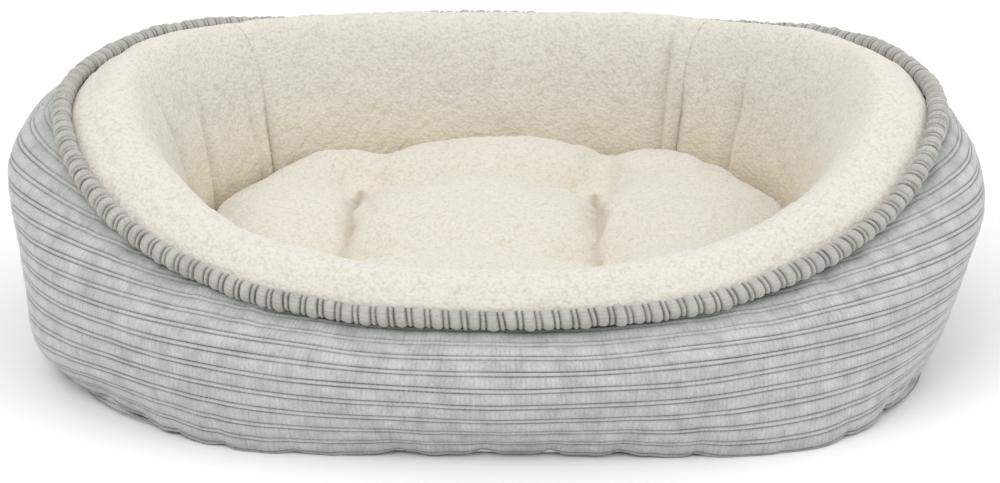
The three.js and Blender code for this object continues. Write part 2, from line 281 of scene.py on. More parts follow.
@dataclass(frozen=True)
class Sections:
    """The lines that a cloth follows from edge to edge, one for each angle round the bed.

    A line lies in an upright plane. Its points are (distance inwards from the girth, height).
    """

    start: Array
    way: Array
    line: Array

    @property
    def reach(self) -> Array:
        """How far along its line each point lies."""
        step = np.linalg.norm(np.diff(self.line, axis=1), axis=-1)
        return np.concatenate([np.zeros((len(step), 1)), np.cumsum(step, axis=1)], axis=1)

    @property
    def span(self) -> Array:
        """The length of each line."""
        return self.reach[:, -1]

    def at(self, along: Array) -> tuple[Array, Array]:
        """Places on the lines.

        Args:
            along: distances along each line, one row to a line.

        Returns:
            The places and the directions outwards from the cloth there, both in space.
        """
        reach = self.reach
        flat = np.empty(along.shape + (2,))
        ahead = np.empty_like(flat)
        nudge = 0.0008
        for i, row in enumerate(along):
            for axis in range(2):
                values = self.line[i, :, axis]
                flat[i, :, axis] = np.interp(row, reach[i], values)
                after = np.interp(row + nudge, reach[i], values)
                before = np.interp(row - nudge, reach[i], values)
                ahead[i, :, axis] = after - before
        ahead /= np.maximum(np.linalg.norm(ahead, axis=-1, keepdims=True), 1e-12)
        out = np.stack([-ahead[..., 1], ahead[..., 0]], axis=-1)
        return self.in_space(flat), self.turned(out)

    def in_space(self, flat: Array) -> Array:
        """Carries (inwards, height) points of each line into space."""
        ground = self.start[:, None, :] + self.way[:, None, :] * flat[..., :1]
        return np.concatenate([ground, flat[..., 1:]], axis=-1)

    def turned(self, flat: Array) -> Array:
        """Carries (inwards, up) directions of each line into space."""
        return np.concatenate([self.way[:, None, :] * flat[..., :1], flat[..., 1:]], axis=-1)


@dataclass(frozen=True)
class Bed:
    """The bed's outline and the sections that all its cloths follow."""

    girth: Oval = Oval(0.323, 0.250, 0.0, 2.32, 2.25)
    base: Oval = Oval(0.286, 0.222, -0.005, 3.0, 2.6)
    rim: Oval = Oval(0.289, 0.232, 0.010, 2.3, 2.15)
    nest: Oval = Oval(0.209, 0.166, 0.020, 2.3, 2.3)
    rim_height: Level = Level(0.086, 0.161, 0.154)
    crest_rise: Level = Level(0.017, 0.013, 0.006)
    girth_level: float = 0.62
    crest_place: float = 0.42
    rim_corner: float = 0.0035
    rim_sag: float = 0.0050
    base_top: float = 0.0020
    liner_bottom: float = 0.0044
    cord_radius: float = 0.0040
    piping_radius: float = 0.0059
    tail_half: float = 0.0015
    tail_lean: float = math.pi / 6
    gap: float = 0.0004
    steps: int = 40

    def plane(self, t: Array) -> tuple[Array, Array, Array]:
        """The start, the way inwards and the width of the sections' planes."""
        start = self.girth.at(t)
        inwards = self.nest.at(t) - start
        width = np.linalg.norm(inwards, axis=-1)
        return start, inwards / width[:, None], width

    def inset_to(self, oval: Oval, t: Array) -> Array:
        """The distance inwards from the girth to an oval between it and the nest."""
        start, way, width = self.plane(t)
        outside, inside = np.zeros_like(width), width.copy()
        for _ in range(40):
            middle = (outside + inside) / 2
            within = oval.share(start + way * middle[:, None]) < 1
            inside = np.where(within, middle, inside)
            outside = np.where(within, outside, middle)
        return inside

    def rim_level(self, t: Array) -> Array:
        """The rim's height, which has settled a little at the back and not at its two corners."""
        back = np.sin(t)
        settled = self.rim_sag * smooth((back - 0.68) / 0.27)
        return self.rim_height.at(t) + self.rim_corner * hump(back - 0.50, 0.24) - settled

    def rim_centre(self, t: Array) -> Array:
        """The middle of the rim's cord, as (inwards, height)."""
        return pairs(self.inset_to(self.rim, t), self.rim_level(t))

    def in_space(self, t: Array, flat: Array) -> Array:
        """Carries one (inwards, height) point for each angle into space."""
        start, way, _ = self.plane(t)
        return np.concatenate([start + way * flat[:, :1], flat[:, 1:]], axis=1)

    def rim_path(self, t: Array) -> Array:
        """The middle of the rim's cord in space."""
        return self.in_space(t, self.rim_centre(t))

    def sewn_edge(self, t: Array, side: int) -> Array:
        """Where the wall, side -1, or the liner, side 1, is sewn to the piping's tails."""
        below = self.piping_radius + self.gap
        away = side * (self.tail_half + self.gap)
        return self.rim_centre(t) + below * self.down_tails + away * self.across_tails

    @property
    def across_tails(self) -> Array:
        """The direction from the wall to the liner where the two are sewn together."""
        return np.array([math.cos(self.tail_lean), math.sin(self.tail_lean)])

    @property
    def down_tails(self) -> Array:
        """The direction in which the piping's two tails run down between wall and liner."""
        return np.array([math.sin(self.tail_lean), -math.cos(self.tail_lean)])

    def wall(self, t: Array) -> Sections:
        """The outer face of the corduroy wall, from the floor up to the rim."""
        start, way, _ = self.plane(t)
        inset, zero = self.inset_to(self.base, t), np.zeros_like(t)
        level = self.girth_level * self.rim_height.at(t)
        end = self.sewn_edge(t, -1)
        foot, widest = pairs(inset, self.base_top), pairs(zero, level)
        lower = curve(foot, pairs(0.5 * inset, 0.3 * level), pairs(zero, 0.55 * level), widest, self.steps)
        shoulder = pairs(zero, level + 0.6 * (end[:, 1] - level))
        brow = end - 0.5 * end[:, :1] * self.across_tails
        upper = curve(widest, shoulder, brow, end, self.steps)
        return Sections(start, way, np.concatenate([lower, upper[:, 1:]], axis=1))

    def liner(self, t: Array) -> Sections:
        """The inner face of the sherpa liner, from the rim over the crest to the nest floor."""
        start, way, width = self.plane(t)
        first = self.sewn_edge(t, 1)
        crest = pairs(
            first[:, 0] + (width - first[:, 0]) * self.crest_place,
            self.rim_height.at(t) + self.crest_rise.at(t),
        )
        rise = crest[:, :1] - first[:, :1]
        out = first + 0.35 * rise * self.across_tails
        back = pairs(crest[:, 0] - 0.5 * rise[:, 0], crest[:, 1])
        outer = curve(first, out, back, crest, self.steps)
        brow = pairs(crest[:, 0] + 0.5 * (width - crest[:, 0]), crest[:, 1])
        inner = curve(
            crest, brow, pairs(width, 0.55 * crest[:, 1]), pairs(width, self.liner_bottom), self.steps
        )
        return Sections(start, way, np.concatenate([outer, inner[:, 1:]], axis=1))

    def even_angles(self, first: float, last: float, count: int) -> Array:
        """Angles from first to last, in degrees, that are evenly spaced along the rim."""
        fine = np.radians(np.linspace(first, last, 6001))
        reach = reach_along(self.rim.at(fine))
        return np.interp(np.linspace(0, reach[-1], count), reach, fine)

    def all_round(self, count: int) -> Array:
        """So many even steps all round the bed, from the left end back to it."""
        return self.even_angles(-180.0, 180.0, count + 1)

    def rim_distance(self, t: Array) -> Array:
        """How far round the rim each angle lies from the right end, in metres."""
        fine = np.radians(np.linspace(-360, 720, 20001))
        reach = reach_along(self.rim.at(fine))
        return np.interp(t, fine, reach) - np.interp(0.0, fine, reach)


# ---- making meshes ---------------------------------------------------------------------------


def added(name: str, data: bpy.types.ID) -> bpy.types.Object:
    """Puts a mesh, light or camera in the scene."""
    thing = bpy.data.objects.new(name, data)
    bpy.context.scene.collection.objects.link(thing)
    return thing


def shade_smooth(mesh: bpy.types.Mesh) -> None:
    """Shades all the mesh's faces smoothly."""
    mesh.polygons.foreach_set("use_smooth", [True] * len(mesh.polygons))


def finished(name: str, bm: bmesh.types.BMesh) -> bpy.types.Object:
    """Turns a bmesh into a smooth-shaded object in the scene.

    Args:
        name: the piece's name.
        bm: the shape, which is freed.

    Returns:
        The new object, at the origin.
    """
    mesh = bpy.data.meshes.new(name)
    bm.to_mesh(mesh)
    bm.free()
    shade_smooth(mesh)
    return added(name, mesh)


def read(items: Sequence, kind: str) -> Array:
    """Three numbers of one kind for each of a mesh's points or faces, one to a row."""
    flat = np.empty(len(items) * 3, np.float32)
    items.foreach_get(kind, flat)
    return flat.reshape(-1, 3).astype(float)


def positions(mesh: bpy.types.Mesh) -> Array:
    """The mesh's points, one to a row."""
    return read(mesh.vertices, "co")


def set_positions(mesh: bpy.types.Mesh, points: Array) -> None:
    """Moves the mesh's points to new places."""
    mesh.vertices.foreach_set("co", points.astype(np.float32).ravel())
    mesh.update()


def normals(mesh: bpy.types.Mesh) -> Array:
    """The directions outwards at the mesh's points."""
    return read(mesh.vertices, "normal")


def paint(mesh: bpy.types.Mesh, name: str, values: Array) -> None:
    """Keeps one number for each point of the mesh, for its material to read."""
    layer = mesh.attributes.get(name) or mesh.attributes.new(name, "FLOAT", "POINT")
    layer.data.foreach_set("value", np.ascontiguousarray(values, dtype=np.float32).ravel())


def thicken(piece: bpy.types.Object, thickness: float) -> None:
    """Gives a cloth its thickness, inwards from the face that shows."""
    wall = piece.modifiers.new("thickness", "SOLIDIFY")
    wall.thickness = thickness
    wall.offset = -1.0
    wall.use_even_offset = False


def applied(piece: bpy.types.Object) -> bpy.types.Object:
    """Makes a piece's modifiers part of its mesh."""
    graph = bpy.context.evaluated_depsgraph_get()
    mesh = bpy.data.meshes.new_from_object(piece.evaluated_get(graph), depsgraph=graph)
    piece.modifiers.clear()
    piece.data = mesh
    return piece


def woven(
    name: str,
    places: Array,
    outwards: Array,
    flat: Array,
    values: dict[str, Array],
) -> bpy.types.Object:
    """A cloth whose threads run in rows and columns.

    Args:
        name: the piece's name.
        places: where the cloth's points go, as columns by rows by three.
        outwards: the directions outwards from the face that shows, in the same order.
        flat: the points' places on the flat cloth in metres, as columns by rows by two.
        values: numbers for the material to read, by name, as columns by rows.

    Returns:
        The new object. Points that fell together are merged.
    """
    columns, rows = places.shape[:2]
    bm = bmesh.new()
    bmesh.ops.create_grid(bm, x_segments=columns - 1, y_segments=rows - 1, size=1.0)
    piece = finished(name, bm)
    mesh = piece.data
    grid = positions(mesh)
    column = np.rint((grid[:, 0] + 1) / 2 * (columns - 1)).astype(int)
    row = np.rint((grid[:, 1] + 1) / 2 * (rows - 1)).astype(int)
    set_positions(mesh, places[column, row])
    corner = np.empty(len(mesh.loops), np.int32)
    mesh.loops.foreach_get("vertex_index", corner)
    layer = mesh.uv_layers.new(name="cloth")
    layer.data.foreach_set("uv", flat[column, row][corner].astype(np.float32).ravel())
    for key, numbers in values.items():
        paint(mesh, key, numbers[column, row])
    first = corner[np.arange(len(mesh.polygons)) * 4]
    inside_out = (read(mesh.polygons, "normal") * outwards[column, row][first]).sum() < 0
    bm = bmesh.new()
    bm.from_mesh(mesh)
    if inside_out:
        bmesh.ops.reverse_faces(bm, faces=bm.faces[:])
    bmesh.ops.remove_doubles(bm, verts=bm.verts[:], dist=2e-5)
    bm.to_mesh(mesh)
    bm.free()
    shade_smooth(mesh)
    return piece


# ---- materials -------------------------------------------------------------------------------


class Graph:
    """The nodes of one material, with short ways to add them."""

    def __init__(self, name: str, roughness: float, sheen: float, sheen_tint: Colour) -> None:
        """Starts a cloth's material.

        Args:
            name: the material's name.
            roughness: how dull the surface is.
            sheen: how much the pile catches light at a low angle.
            sheen_tint: the colour of that light.
        """
        self.material = bpy.data.materials.new(name)
        self.material.use_nodes = True
        self.tree = self.material.node_tree
        self.shader = self.tree.nodes["Principled BSDF"]
        self.shader.inputs["Roughness"].default_value = roughness
        self.shader.inputs["Specular IOR Level"].default_value = 0.2
        self.shader.inputs["Sheen Weight"].default_value = sheen
        self.shader.inputs["Sheen Roughness"].default_value = 0.5
        self.shader.inputs["Sheen Tint"].default_value = (*sheen_tint, 1.0)

    def add(self, kind: str, sockets: dict, output: int = 0, **settings) -> bpy.types.NodeSocket:
        """Adds a node.

        Args:
            kind: the node's type.
            sockets: its inputs by name or number, each a value or another node's output.
            output: which of its outputs is wanted.
            settings: its other settings.

        Returns:
            The wanted output.
        """
        node = self.tree.nodes.new(kind)
        for key, value in settings.items():
            setattr(node, key, value)
        for key, value in sockets.items():
            if isinstance(value, bpy.types.NodeSocket):
                self.tree.links.new(value, node.inputs[key])
            else:
                node.inputs[key].default_value = value
        return node.outputs[output]

    def place(self) -> bpy.types.NodeSocket:
        """The place on the object."""
        return self.add("ShaderNodeTexCoord", {}, output=3)

    def cloth(self) -> bpy.types.NodeSocket:
        """The place on the flat cloth, in metres."""
        return self.add("ShaderNodeUVMap", {}, uv_map="cloth")

    def painted(self, name: str) -> bpy.types.NodeSocket:
        """A number that was painted on the mesh."""
        return self.add("ShaderNodeAttribute", {}, output=2, attribute_name=name)

    def noise(self, at: bpy.types.NodeSocket, size: float, detail: float = 3.0) -> bpy.types.NodeSocket:
        """Noise with lumps of about the given size, from 0 to 1."""
        sockets = {"Vector": at, "Scale": 1 / size, "Detail": detail, "Roughness": 0.55}
        return self.add("ShaderNodeTexNoise", sockets)

    def stretched(self, at: bpy.types.NodeSocket, scale: tuple[float, float, float]) -> bpy.types.NodeSocket:
        """The same place on a cloth that is stretched along its axes."""
        return self.add("ShaderNodeMapping", {"Vector": at, "Scale": scale})

    def maths(self, operation: str, first, second=0.0, clamp: bool = False) -> bpy.types.NodeSocket:
        """A sum on two numbers."""
        return self.add("ShaderNodeMath", {0: first, 1: second}, operation=operation, use_clamp=clamp)

    def between(self, value, low: float, high: float, to_low: float = 0.0, to_high: float = 1.0):
        """Carries a number from one range to another, held at its ends."""
        sockets = {0: value, 1: low, 2: high, 3: to_low, 4: to_high}
        return self.add("ShaderNodeMapRange", sockets)

    def blend(self, share, first, second) -> bpy.types.NodeSocket:
        """Mixes two colours."""
        full = {
            0: share,
            6: first if isinstance(first, bpy.types.NodeSocket) else (*first, 1.0),
            7: second if isinstance(second, bpy.types.NodeSocket) else (*second, 1.0),
        }
        return self.add("ShaderNodeMix", full, output=2, data_type="RGBA")

    def bump(self, height, distance: float, strength: float = 1.0, below=None) -> bpy.types.NodeSocket:
        """Relief that is too fine for the mesh."""
        sockets = {"Height": height, "Distance": distance, "Strength": strength}
        if below is not None:
            sockets["Normal"] = below
        return self.add("ShaderNodeBump", sockets)

    def finish(self, colour, normal=None, roughness=None) -> bpy.types.Material:
        """Joins the nodes to the shader and returns the material."""
        self.tree.links.new(colour, self.shader.inputs["Base Color"])
        if normal is not None:
            self.tree.links.new(normal, self.shader.inputs["Normal"])
        if roughness is not None:
            self.tree.links.new(roughness, self.shader.inputs["Roughness"])
        return self.material


@dataclass(frozen=True)
class Corduroy:
    """Grey corduroy: pile ribs that catch the light, with a painted highlight on the narrow ribs, and thin
    grooves between them that are darkened with painted shade, as is the cloth where it tucks under.
    """

    name: str = "corduroy"
    crest: Colour = (0.530, 0.545, 0.528)
    shaded: Colour = (0.315, 0.330, 0.322)
    # groove: near-black painted shade for the grooves and tucks; it also draws the faint weave ticks.
    groove: Colour = (0.040, 0.043, 0.042)
    tick_pitch: float = 0.0026
    mottle_size: float = 0.012

    def make(self) -> bpy.types.Material:
        """Builds the material."""
        g = Graph(self.name, 0.86, 0.35, (0.9, 0.92, 0.92))
        place, cloth = g.place(), g.cloth()
        mottle = g.noise(place, self.mottle_size, 4.0)
        pile = g.noise(g.stretched(cloth, (1.0, 0.45, 1.0)), 0.0011, 2.0)
        streak = g.noise(g.stretched(cloth, (1.0, 0.08, 1.0)), 0.0022, 2.0)
        tone = g.maths("ADD", g.maths("MULTIPLY", mottle, 1.1), g.maths("MULTIPLY", pile, 0.75))
        tone = g.between(g.maths("ADD", tone, g.maths("MULTIPLY", streak, 0.45)), 0.78, 1.45)
        # painted highlight along the narrow ribs' crests
        tone = g.maths("ADD", tone, g.maths("MULTIPLY", g.painted("bright"), 0.35), clamp=True)
        colour = g.blend(tone, self.shaded, self.crest)
        separate = g.add("ShaderNodeSeparateXYZ", {0: cloth})
        wobble = g.maths("MULTIPLY", g.noise(cloth, 0.009), 0.004)
        around = g.maths("ADD", separate, wobble)
        turn = g.maths("MULTIPLY", around, 2 * math.pi / self.tick_pitch)
        tick = g.between(g.maths("SINE", turn), 0.2, 1.0)
        # The grooves are darkened with painted shade, broken into dashes by the weave's ticks and made
        # uneven by noise.
        depth = g.painted("groove")
        broken = g.maths("MULTIPLY", tick, g.between(g.noise(place, 0.03), 0.42, 0.66))
        uneven_groove_shade = g.between(g.noise(g.stretched(cloth, (0.35, 1.0, 1.0)), 0.016, 2.0), 0.3, 0.62, 0.6, 1.0)
        dark = g.maths("MULTIPLY", g.maths("MULTIPLY", depth, uneven_groove_shade), g.between(broken, 0.0, 1.0, 1.0, 0.45))
        colour = g.blend(dark, colour, self.groove)
        faint = g.maths("MULTIPLY", g.between(g.maths("SINE", turn), 0.86, 1.0), 0.15)
        colour = g.blend(faint, colour, self.groove)
        # painted shade where the cloth tucks under the rim and at the wall's foot, and on the piping's
        # underside
        colour = g.blend(g.maths("MULTIPLY", g.painted("tuck"), 0.55), colour, self.groove)
        fuzz = g.bump(pile, 0.0006, 0.55)
        normal = g.bump(g.maths("MULTIPLY", tick, -1.0), 0.0003, 0.35, fuzz)
        rough = g.between(mottle, 0.3, 0.7, 0.80, 0.95)
        return g.finish(colour, normal, rough)


PIPING = Corduroy("corduroy_piping", (0.49, 0.485, 0.45), (0.33, 0.325, 0.30), (0.055, 0.055, 0.05))


@dataclass(frozen=True)
class Sherpa:
    """Cream fleece with small curled nubs. Its colour carries painted shade: darker and warmer between the
    nubs, darker in the creases, and a warm painted shade deep in the nest.
    """

    name: str = "sherpa"
    tip: Colour = (0.675, 0.655, 0.598)
    # painted shade between the nubs
    root: Colour = (0.585, 0.540, 0.455)
    # warm painted shade deep in the nest, as of light bounced round the cream fleece
    sheltered: Colour = (0.820, 0.705, 0.495)
    # painted shade in the liner's creases and in the cushion's valleys and tie dimples
    crease: Colour = (0.340, 0.270, 0.180)
    curl_size: float = 0.0023

    def make(self) -> bpy.types.Material:
        """Builds the material."""
        g = Graph(self.name, 0.95, 0.55, (1.0, 0.97, 0.92))
        place = g.place()
        warp = g.noise(place, 0.004, 2.0)
        wavy = g.add("ShaderNodeMix", {0: 0.0012, 4: place, 5: warp}, output=1, data_type="VECTOR")
        curl = g.add(
            "ShaderNodeTexVoronoi",
            {"Vector": wavy, "Scale": 1 / self.curl_size, "Smoothness": 0.4},
            feature="SMOOTH_F1",
        )
        fluff = g.noise(place, 0.0012, 3.0)
        patch = g.noise(place, 0.022, 3.0)
        high = g.maths("SUBTRACT", 1.0, curl)
        nub = g.painted("nub")
        lift = g.maths("ADD", g.maths("MULTIPLY", nub, 0.22), g.maths("MULTIPLY", high, 0.60))
        lift = g.maths("ADD", lift, g.maths("MULTIPLY", fluff, 0.40))
        # painted shade between the nubs, with some random tone from the fluff
        colour = g.blend(g.between(lift, 0.38, 0.72), self.root, self.tip)
        # warm painted shade deep in the nest
        warm = g.maths("MULTIPLY", g.painted("shelter"), g.between(patch, 0.3, 0.7, 0.45, 0.75))
        colour = g.blend(warm, colour, self.sheltered)
        # painted shade in the creases
        colour = g.blend(g.maths("MULTIPLY", g.painted("fold"), 0.7), colour, self.crease)
        coarse = g.bump(high, 0.0009, 0.6)
        normal = g.bump(fluff, 0.0005, 0.5, coarse)
        return g.finish(colour, normal)


@dataclass(frozen=True)
class Plain:
    """A plain cloth, thread, cord or fibre, with a fine grain of its own."""

    name: str
    light: Colour
    dark: Colour
    grain_size: float
    relief: float
    roughness: float = 0.9
    sheen: float = 0.2

    def make(self) -> bpy.types.Material:
        """Builds the material."""
        g = Graph(self.name, self.roughness, self.sheen, (1.0, 1.0, 1.0))
        place = g.place()
        fine = g.noise(place, self.grain_size, 5.0)
        broad = g.noise(place, self.grain_size * 14, 2.0)
        tone = g.maths("ADD", g.maths("MULTIPLY", fine, 0.6), g.maths("MULTIPLY", broad, 0.4))
        colour = g.blend(g.between(tone, 0.3, 0.7), self.dark, self.light)
        return g.finish(colour, g.bump(fine, self.relief, 0.8))


FELT = Plain("pale_felt", (0.80, 0.79, 0.76), (0.66, 0.65, 0.62), 0.0016, 0.0004)
NON_SLIP = Plain("non_slip_cloth", (0.085, 0.09, 0.094), (0.05, 0.052, 0.055), 0.0012, 0.0003, 0.75)
DOTS = Plain("non_slip_dots", (0.035, 0.036, 0.038), (0.02, 0.02, 0.022), 0.0008, 0.0001, 0.45, 0.0)
FIBRE = Plain("fibre_fill", (0.90, 0.90, 0.88), (0.76, 0.76, 0.74), 0.0035, 0.0020, 1.0, 0.4)
CORD = Plain("cotton_cord", (0.82, 0.79, 0.71), (0.66, 0.62, 0.54), 0.0009, 0.0004)
GREY_THREAD = Plain("grey_thread", (0.34, 0.35, 0.345), (0.22, 0.23, 0.225), 0.0004, 0.0001, 0.6)
CREAM_THREAD = Plain("cream_thread", (0.78, 0.71, 0.58), (0.60, 0.53, 0.41), 0.0004, 0.0001, 0.6)


def dress(
    piece: bpy.types.Object,
    material: bpy.types.Material,
    body: Body,
    stands_for: Sequence[str] = (),
) -> bpy.types.Object:
    """Gives a piece its material and body.

    Args:
        piece: the piece.
        material: its finish.
        body: what it rides on.
        stands_for: the model's nodes that it replaces.

    Returns:
        The piece.
    """
    piece.data.materials.clear()
    piece.data.materials.append(material)
    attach(piece, body.value)
    if stands_for:
        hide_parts(*stands_for)
    triangles = sum(len(p.vertices) - 2 for p in piece.data.polygons)
    LOG.info("%s: %d triangles before modifiers", piece.name, triangles)
    return piece


# ---- the bolster's covers --------------------------------------------------------------------


class Panel(Enum):
    """The panels that a cover is cut in, each with its first and last angle in degrees."""

    WALL_FRONT = ("outer_wall_front", -180.0, 0.0)
    WALL_BACK = ("outer_wall_back", 0.0, 180.0)
    LINER_FRONT = ("liner_front", 139.09 - 360.0, 57.27)
    LINER_BACK = ("liner_back", 57.27, 139.09)

    @property
    def node(self) -> str:
        """The model's node for this panel."""
        return self.value[0]

    def angles(self, bed: Bed, pitch: float) -> Array:
        """Evenly spaced angles over the panel, about pitch metres apart along the rim."""
        _, first, last = self.value
        ends = bed.rim_distance(np.radians([first, last]))
        count = int(round((ends[1] - ends[0]) / pitch)) + 1
        gap = math.degrees(0.05 * bed.gap / bed.nest.half_depth)
        return bed.even_angles(first + gap, last - gap, count)


@dataclass(frozen=True)
class Ribs:
    """Corduroy's pile ribs, a narrow one and a wide one in turn, measured across them.

    Its cuts are the shares of a rib's width at which the cloth's points lie.
    """

    repeat: float
    narrow: float
    groove_half: float
    narrow_cuts: tuple[float, ...]
    wide_cuts: tuple[float, ...]

    @property
    def wide(self) -> float:
        """The wide rib's width."""
        return self.repeat - self.narrow

    def cuts(self, count: int) -> Array:
        """Where the cloth's points lie over so many repeats, closer together beside the grooves."""
        narrow = np.array(self.narrow_cuts) * self.narrow
        wide = self.narrow + np.array(self.wide_cuts) * self.wide
        once = np.concatenate([narrow, wide])
        return (np.arange(count)[:, None] * self.repeat + once[None, :]).ravel()

    def place(self, along: Array) -> tuple[Array, Array, Array]:
        """Where on its rib each place is.

        Args:
            along: distances across the ribs.

        Returns:
            Whether it is on a narrow rib, how far it is from the rib's middle, from 0 to 1, and
            how far down in a groove it is, from 0 to 1.
        """
        phase = np.mod(along, self.repeat)
        in_narrow = phase < self.narrow
        share = np.where(in_narrow, phase / self.narrow, (phase - self.narrow) / self.wide)
        edge = np.minimum(np.minimum(phase, np.abs(phase - self.narrow)), self.repeat - phase)
        return in_narrow, np.abs(2 * share - 1), 1 - smooth(edge / self.groove_half)


@dataclass(frozen=True)
class Slump:
    """A broad place where the stuffed wall stands out from, or falls back from, its plain shape.

    Its angle and angle_spread are degrees round the bed, and its level, level_spread and lift are
    metres. A lift below zero falls back.
    """

    angle: float
    angle_spread: float
    level: float
    level_spread: float
    lift: float

    def at(self, t: Array, places: Array) -> Array:
        """The lift at places on the section lines of angles t."""
        away = (np.degrees(t)[:, None] - self.angle + 180) % 360 - 180
        above = places[..., 2] - self.level
        return self.lift * hump(away, self.angle_spread) * hump(above, self.level_spread)


@dataclass
class OuterWall:
    """The corduroy round the outside: its ribs run level, and meet at a seam at each end."""

    bed: Bed
    finish: Corduroy
    thickness: float = 0.0024
    rib_height: float = 0.00105
    column_pitch: float = 0.0030
    tuck_depth: float = 0.0022
    tuck_width: float = 0.0032
    lowest: float = 0.0003
    lump: float = 0.0015
    small_lump: float = 0.0006
    pucker: float = 0.0034
    pucker_reach: float = 0.019
    scallop: float = 0.043
    scallop_lift: float = 0.0019
    scallop_depth: float = 0.0036
    scallop_reach: float = 0.010
    gather: float = 0.0006
    gather_reach: float = 0.016
    plain_reach: float = 0.030
    slumps: tuple[Slump, ...] = (
        Slump(172.0, 28.0, 0.135, 0.027, 0.0100),
        Slump(184.0, 34.0, 0.078, 0.030, -0.0025),
        Slump(208.0, 20.0, 0.026, 0.024, 0.0105),
        Slump(-8.0, 42.0, 0.058, 0.036, -0.0075),
        Slump(-58.0, 15.0, 0.0, 0.036, 0.0100),
        Slump(-32.0, 14.0, 0.0, 0.034, -0.0065),
        Slump(-117.0, 13.0, 0.0, 0.036, 0.0070),
        Slump(-138.0, 14.0, 0.0, 0.036, -0.0105),
    )
    pattern: Ribs = Ribs(
        0.0109, 0.0030, 0.0007, (0.0, 0.13, 0.5, 0.87), (0.0, 0.065, 0.22, 0.5, 0.78, 0.935)
    )

    def rows_to(self, length: float) -> Array:
        """Distances up the cloth at which its rows lie."""
        every = self.pattern.cuts(int(math.ceil(length / self.pattern.repeat)))
        return np.append(every[every < length], length)

    def ribs(self, along: Array) -> tuple[Array, Array]:
        """The ribs' height, and how far down in a groove each place is, from 0 to 1."""
        in_narrow, side, groove = self.pattern.place(along)
        crown = np.where(in_narrow, 0.80 * (1 - side**2.2), 1 - 0.9 * side**7 - 0.1 * side**2)
        return self.rib_height * crown, groove * np.where(in_narrow, 0.9, 1.0)

    def bright(self, along: Array) -> Array:
        """Where the narrow ribs' crests get a painted highlight, from 0 to 1."""
        phase = np.mod(along, self.pattern.repeat)
        return hump(phase - 0.5 * self.pattern.narrow, 0.35 * self.pattern.narrow)

    def swell(self, t: Array, places: Array, along: Array, span: Array) -> Array:
        """How far the stuffed cloth stands out from its plain shape."""
        around = self.bed.rim_distance(t)[:, None] + 0 * along
        below_rim = span[:, None] - along
        line = as_line(around)
        soft = self.lump * grain(places, 0.060, 11) + self.small_lump * grain(places, 0.021, 12)
        puckers = grain(line, 0.0085, 13) * (0.5 + 0.5 * grain(line, 0.07, 14))
        ends = 0.5 + 0.5 * np.cos(t)[:, None] ** 2
        at_rim = self.pucker * ends * puckers * np.exp(-((below_rim / self.pucker_reach) ** 2))
        wave = np.abs(np.sin(math.pi * around / self.scallop + 1.6 * grain(line, 0.11, 15)))
        scallops = self.scallop_lift - self.scallop_depth * (1 - wave) ** 1.6
        at_base = scallops * np.exp(-along / self.scallop_reach)
        gathers = self.gather * grain(line, 0.006, 16) * np.exp(-along / self.gather_reach)
        return soft + at_rim + at_base + gathers + self.slumped(t, places)

    def slumped(self, t: Array, places: Array) -> Array:
        """How far the wall stands out from its plain shape, at places on the section lines."""
        return sum(slump.at(t, places) for slump in self.slumps)

    def seam_tuck(self, t: Array) -> Array:
        """How far the cloth dips at its seams at the two ends of the bed."""
        ends = self.bed.rim_distance(np.radians([-180.0, 0.0, 180.0]))
        away = np.abs(self.bed.rim_distance(t)[:, None] - ends[None, :]).min(axis=1)
        return -self.tuck_depth * hump(away, self.tuck_width)[:, None]

    def build(self, panel: Panel) -> bpy.types.Object:
        """Makes one panel."""
        t = panel.angles(self.bed, self.column_pitch)
        sections = self.bed.wall(t)
        rows = self.rows_to(float(sections.span.max()))
        along = np.minimum(rows[None, :], sections.span[:, None])
        places, outwards = sections.at(along)
        height, groove = self.ribs(along)
        lift = height - self.rib_height + self.swell(t, places, along, sections.span)
        places = places + outwards * (lift + self.seam_tuck(t))[..., None]
        places[..., 2] = np.maximum(places[..., 2], self.lowest)
        below_rim = sections.span[:, None] - along
        # painted shade just under the rim piping and at the wall's foot by the floor
        tuck = np.maximum(np.exp(-below_rim / 0.0045), 0.7 * np.exp(-along / 0.004))
        around = self.bed.rim_distance(t)[:, None] + 0 * along
        flat = np.stack([around, along], axis=-1)
        # The grooves' painted shade is fainter just under the rim.
        fade = smooth(below_rim / self.plain_reach) * 0.65 + 0.35
        values = {"groove": groove * fade, "tuck": tuck, "bright": self.bright(along)}
        piece = woven(panel.node, places, outwards, flat, values)
        thicken(piece, self.thickness)
        return piece

    def foot(self, t: Array) -> Array:
        """The wall's lower edge at each angle, as (x, y)."""
        sections = self.bed.wall(t)
        along = np.zeros((len(t), 1))
        places, outwards = sections.at(along)
        lift = self.swell(t, places, along, sections.span) - self.rib_height
        return (places + outwards * (lift + self.seam_tuck(t))[..., None])[:, 0, :2]

    def make(self) -> None:
        """Makes and dresses both panels."""
        material = self.finish.make()
        for panel in (Panel.WALL_FRONT, Panel.WALL_BACK):
            piece = self.build(panel)
            piece.name = f"corduroy_{panel.node}"
            dress(piece, material, Body.BED, [panel.node])


